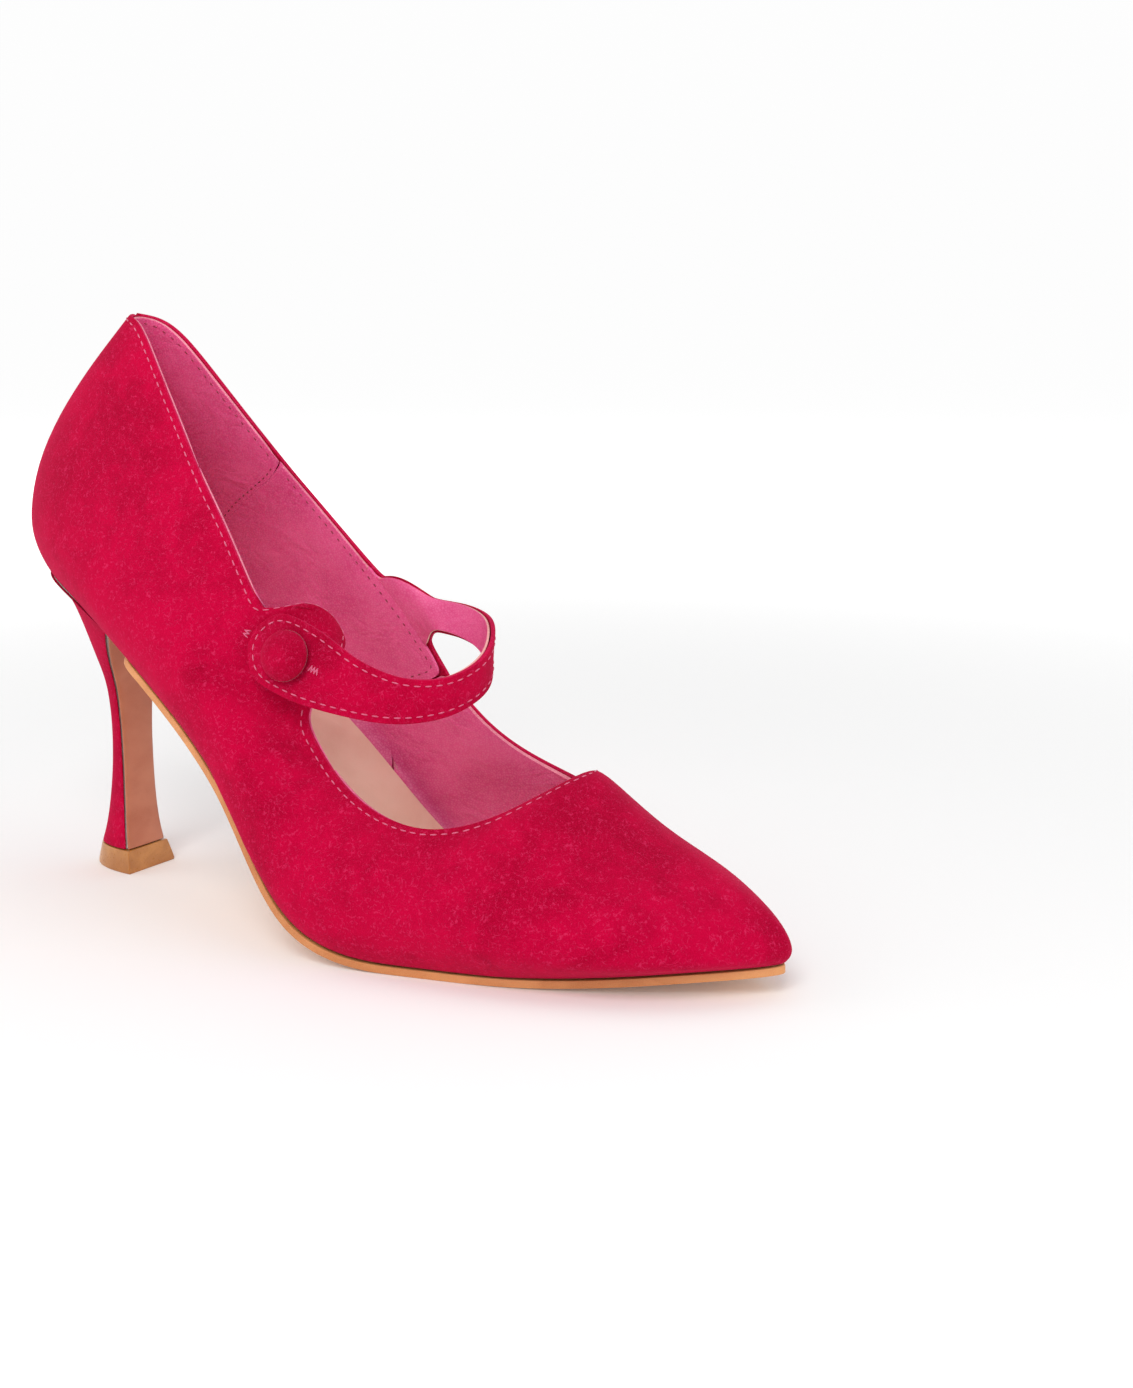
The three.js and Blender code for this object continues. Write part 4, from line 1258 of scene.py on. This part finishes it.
@dataclass
class Button:
    """Suede-covered button with its thread loop, bartacks and elastic."""

    along: Vector = field(default_factory=lambda: Vector((-0.9416, -0.0323, 0.3351)))
    steps: int = 40
    rim_stitches: int = 36
    rim_radius: float = 0.957
    rim_height: float = 0.118
    tack_before: float = 8.0 * MM
    tack_past_tip: float = 2.2 * MM
    strap_end: float = 20 * MM

    def build(self, upper: Upper) -> None:
        """Makes the button and what is sewn round it.

        Args:
            upper: the finished upper, which the bartacks lie on.
        """
        joint = next(item for item in frame["joints"] if item["name"] == "button_pull")
        axis = Vector(joint["axis"]).normalized()
        points = [vertex.co for vertex in frame["nodes"]["button_dome"].data.vertices]
        centre = sum(points, Vector()) / len(points)
        heights = [(point - centre).dot(axis) for point in points]
        radius = max(((point - centre) - axis * (point - centre).dot(axis)).length for point in points)
        base = centre + axis * min(heights)
        self.dome(base, axis, radius, max(heights) - min(heights))
        self.tacks(base, axis, upper)
        self.elastic()

    def dome(self, base: Vector, axis: Vector, radius: float, height: float) -> None:
        """Spins the covered dome and its rolled rim.

        Args:
            base: middle of the button's underside.
            axis: direction from the underside to the top.
            radius: the button's radius.
            height: the button's height.
        """
        side = axis.orthogonal().normalized()
        profile = [
            (0.0, 1.0), (0.16, 0.995), (0.34, 0.965), (0.52, 0.9), (0.68, 0.8), (0.82, 0.645), (0.92, 0.46),
            (0.975, 0.27), (0.985, 0.17), (0.955, 0.12), (0.97, 0.07), (0.95, 0.02), (0.88, 0.0), (0.5, 0.0),
            (0.0, 0.0),
        ]
        bm = bmesh.new()
        verts = [bm.verts.new(base + side * r * radius + axis * h * height) for r, h in profile]
        edges = [bm.edges.new(pair) for pair in zip(verts, verts[1:])]
        bmesh.ops.spin(bm, geom=verts + edges, cent=base, axis=axis, angle=math.tau, steps=self.steps,
                       use_merge=True)
        bmesh.ops.remove_doubles(bm, verts=bm.verts, dist=1e-6)
        bmesh.ops.recalc_face_normals(bm, faces=bm.faces)
        Piece("covered_button", bm, ["crimson_suede"]).refined(1).settle(Motion.BUTTON, "button_dome")
        rim = bmesh.new()
        row = Stitching(pitch=1.0 * MM, length=1.15 * MM, width=0.3 * MM, height=0.3 * MM)
        other = axis.cross(side)
        for index in range(self.rim_stitches):
            angle = math.tau * index / self.rim_stitches
            out = side * math.cos(angle) + other * math.sin(angle)
            place = base + out * radius * self.rim_radius + axis * height * self.rim_height
            row.stitch(rim, place, axis.cross(out), out)
        Piece("button_rim_thread", rim, ["crimson_thread"]).settle(Motion.BUTTON)

    def tacks(self, base: Vector, axis: Vector, upper: Upper) -> None:
        """Sews the bartacks before the button and past the strap's tip.

        Args:
            base: middle of the button's underside.
            axis: the button's axis.
            upper: the finished upper.
        """
        first, second = bmesh.new(), bmesh.new()
        row = Stitching()
        row.bartack(first, base - self.along * self.tack_before, self.along, upper.quarter.surface)
        Piece("strap_bartack", first, ["pink_thread"]).settle(Motion.STRAP)
        tip = max((vertex.co - base).dot(self.along) for vertex in frame["nodes"]["strap"].data.vertices
                  if (vertex.co - base).length < self.strap_end)
        start = base + self.along * (tip + self.tack_past_tip)
        across = axis.cross(self.along).normalized()
        row.bartack(second, start, across, upper.vamp.surface, 4)
        Piece("quarter_bartack", second, ["pink_thread"]).settle(Motion.SHOE)

    def elastic(self) -> None:
        """Rounds the elastic loop that holds the button."""
        bm = node_mesh("elastic_loop")
        Piece("button_elastic", bm, ["elastic_cord"]).refined(1).settle(Motion.STRAP, "elastic_loop")


HIDDEN: dict[str, str] = {
    "bottom_filler": "latex_foam",
    "shank": "drawn_steel",
    "shank_board": "fibre_board",
    "insole_board": "fibre_board",
    "toe_puff": "stiffener_sheet",
    "heel_counter": "stiffener_sheet",
    "heel_core": "heel_plastic",
    "heel_tube": "drawn_steel",
    "top_piece_pin": "drawn_steel",
    "heel_screw": "drawn_steel",
    "heel_nail_1": "drawn_steel",
    "heel_nail_2": "drawn_steel",
    "heel_nail_3": "drawn_steel",
    "heel_nail_4": "drawn_steel",
    "button_back": "heel_plastic",
}


def dress_cad_nodes() -> None:
    """Gives each CAD node that stays its own material."""
    for node, finish in HIDDEN.items():
        mesh = frame["nodes"][node].data
        mesh.materials.clear()
        mesh.materials.append(MATERIALS[finish])


# ---------------------------------------------------------------- studio


@dataclass(frozen=True)
class Lamp:
    """A square soft light aimed at a point."""

    name: str
    place: tuple[float, float, float]
    target: tuple[float, float, float]
    size: float
    power: float

    def build(self) -> None:
        """Makes the light and turns it to its target."""
        data = bpy.data.lights.new(self.name, "AREA")
        data.shape = "SQUARE"
        data.size = self.size
        data.energy = self.power
        lamp = bpy.data.objects.new(self.name, data)
        bpy.context.scene.collection.objects.link(lamp)
        lamp.location = self.place
        aim = Vector(self.target) - Vector(self.place)
        lamp.rotation_euler = aim.to_track_quat("-Z", "Y").to_euler()


LAMPS: list[Lamp] = [
    Lamp("key", (0.35, -0.9, 1.0), (0.0, 0.0, 0.05), size=0.65, power=8.4),
    Lamp("left_fill", (-1.2, -0.55, 0.7), (0.0, 0.0, 0.06), size=1.1, power=2.6),
    Lamp("right_fill", (1.25, 0.1, 0.75), (0.0, 0.0, 0.05), size=1.1, power=2.4),
    Lamp("top", (0.0, 0.3, 1.5), (0.0, 0.0, 0.0), size=1.4, power=3.5),
]


@dataclass
class Studio:
    """Pale round sweep, soft lights and the camera."""

    floor_shade: Colour = (0.93, 0.93, 0.93)
    wall_shade: Colour = (0.04, 0.04, 0.04)
    floor_radius: float = 3.0
    rise_radius: float = 1.0
    wall_top: float = 2.2
    glow: tuple[float, float] = (0.06, 0.95)
    glow_reach: tuple[float, float] = (0.2, 1.6)
    wall_reach: tuple[float, float] = (1.2, 2.4)
    surround: float = 0.38
    lens: float = 45.39
    camera_place: tuple[float, float, float] = (0.26795, -0.35133, 0.14855)
    camera_turn: tuple[float, float, float] = (78.60, -0.05, 30.79)

    def build(self) -> None:
        """Makes the sweep, the lights, the world and the camera."""
        self.floor()
        for lamp in LAMPS:
            lamp.build()
        self.world()
        self.camera()

    def floor(self) -> None:
        """Spins a wide round floor that rises far away on every side."""
        profile = [(part * self.floor_radius, 0.0) for part in (0.0, 0.2, 0.5, 1.0)]
        for step in range(1, 10):
            angle = math.radians(10 * step)
            profile.append((self.floor_radius + self.rise_radius * math.sin(angle),
                            self.rise_radius * (1.0 - math.cos(angle))))
        profile.append((self.floor_radius + self.rise_radius, self.wall_top))
        bm = bmesh.new()
        verts = [bm.verts.new((x, 0.0, z)) for x, z in profile]
        edges = [bm.edges.new(pair) for pair in zip(verts, verts[1:])]
        bmesh.ops.spin(bm, geom=verts + edges, cent=(0, 0, 0), axis=(0, 0, 1), angle=math.tau, steps=64,
                       use_merge=True)
        bmesh.ops.remove_doubles(bm, verts=bm.verts, dist=1e-4)
        mesh = bpy.data.meshes.new("sweep")
        bm.to_mesh(mesh)
        bm.free()
        sweep = bpy.data.objects.new("sweep", mesh)
        bpy.context.scene.collection.objects.link(sweep)
        mesh.materials.append(self.paper())
        mesh.shade_smooth()

    def paper(self) -> bpy.types.Material:
        """Makes the sweep's paper, which glows towards its wall so that it stays pale.

        Returns:
            The material.
        """
        material = bpy.data.materials.new("sweep_paper")
        material.use_nodes = True
        shader = material.node_tree.nodes["Principled BSDF"]
        shader.inputs["Roughness"].default_value = 0.9
        shader.inputs["Specular IOR Level"].default_value = 0.1
        shader.inputs["Emission Color"].default_value = (1.0, 1.0, 1.0, 1.0)
        tree = Tree(material.node_tree)
        away = tree.add("ShaderNodeVectorMath", operation="LENGTH")
        tree.put(away.inputs[0], tree.place())
        distance = away.outputs["Value"]
        tree.put(shader.inputs["Emission Strength"], tree.span(distance, *self.glow_reach, *self.glow))
        far = tree.span(distance, *self.wall_reach)
        tree.put(shader.inputs["Base Color"], tree.mix(far, self.floor_shade, self.wall_shade))
        return material

    def world(self) -> None:
        """Makes an even pale surround."""
        world = bpy.data.worlds.new("surround")
        world.use_nodes = True
        background = world.node_tree.nodes["Background"]
        background.inputs["Color"].default_value = (1.0, 1.0, 1.0, 1.0)
        background.inputs["Strength"].default_value = self.surround
        bpy.context.scene.world = world

    def camera(self) -> None:
        """Makes the camera, from the toe's side and a little above."""
        data = bpy.data.cameras.new("camera")
        data.lens = self.lens
        data.clip_start = 0.01
        data.clip_end = 50.0
        camera = bpy.data.objects.new("camera", data)
        bpy.context.scene.collection.objects.link(camera)
        camera.location = self.camera_place
        camera.rotation_euler = [math.radians(angle) for angle in self.camera_turn]
        bpy.context.scene.camera = camera
        bpy.context.scene.view_settings.view_transform = "Standard"


def main() -> None:
    """Builds the shoe and the studio."""
    logging.basicConfig(level=logging.INFO, format="%(name)s: %(message)s")
    prepare_finishes()
    upper = Upper()
    upper.build()
    Linings().build()
    Bottom().build()
    Heel().build()
    Button().build(upper)
    dress_cad_nodes()
    Studio().build()


if __name__ == "__main__":
    main()
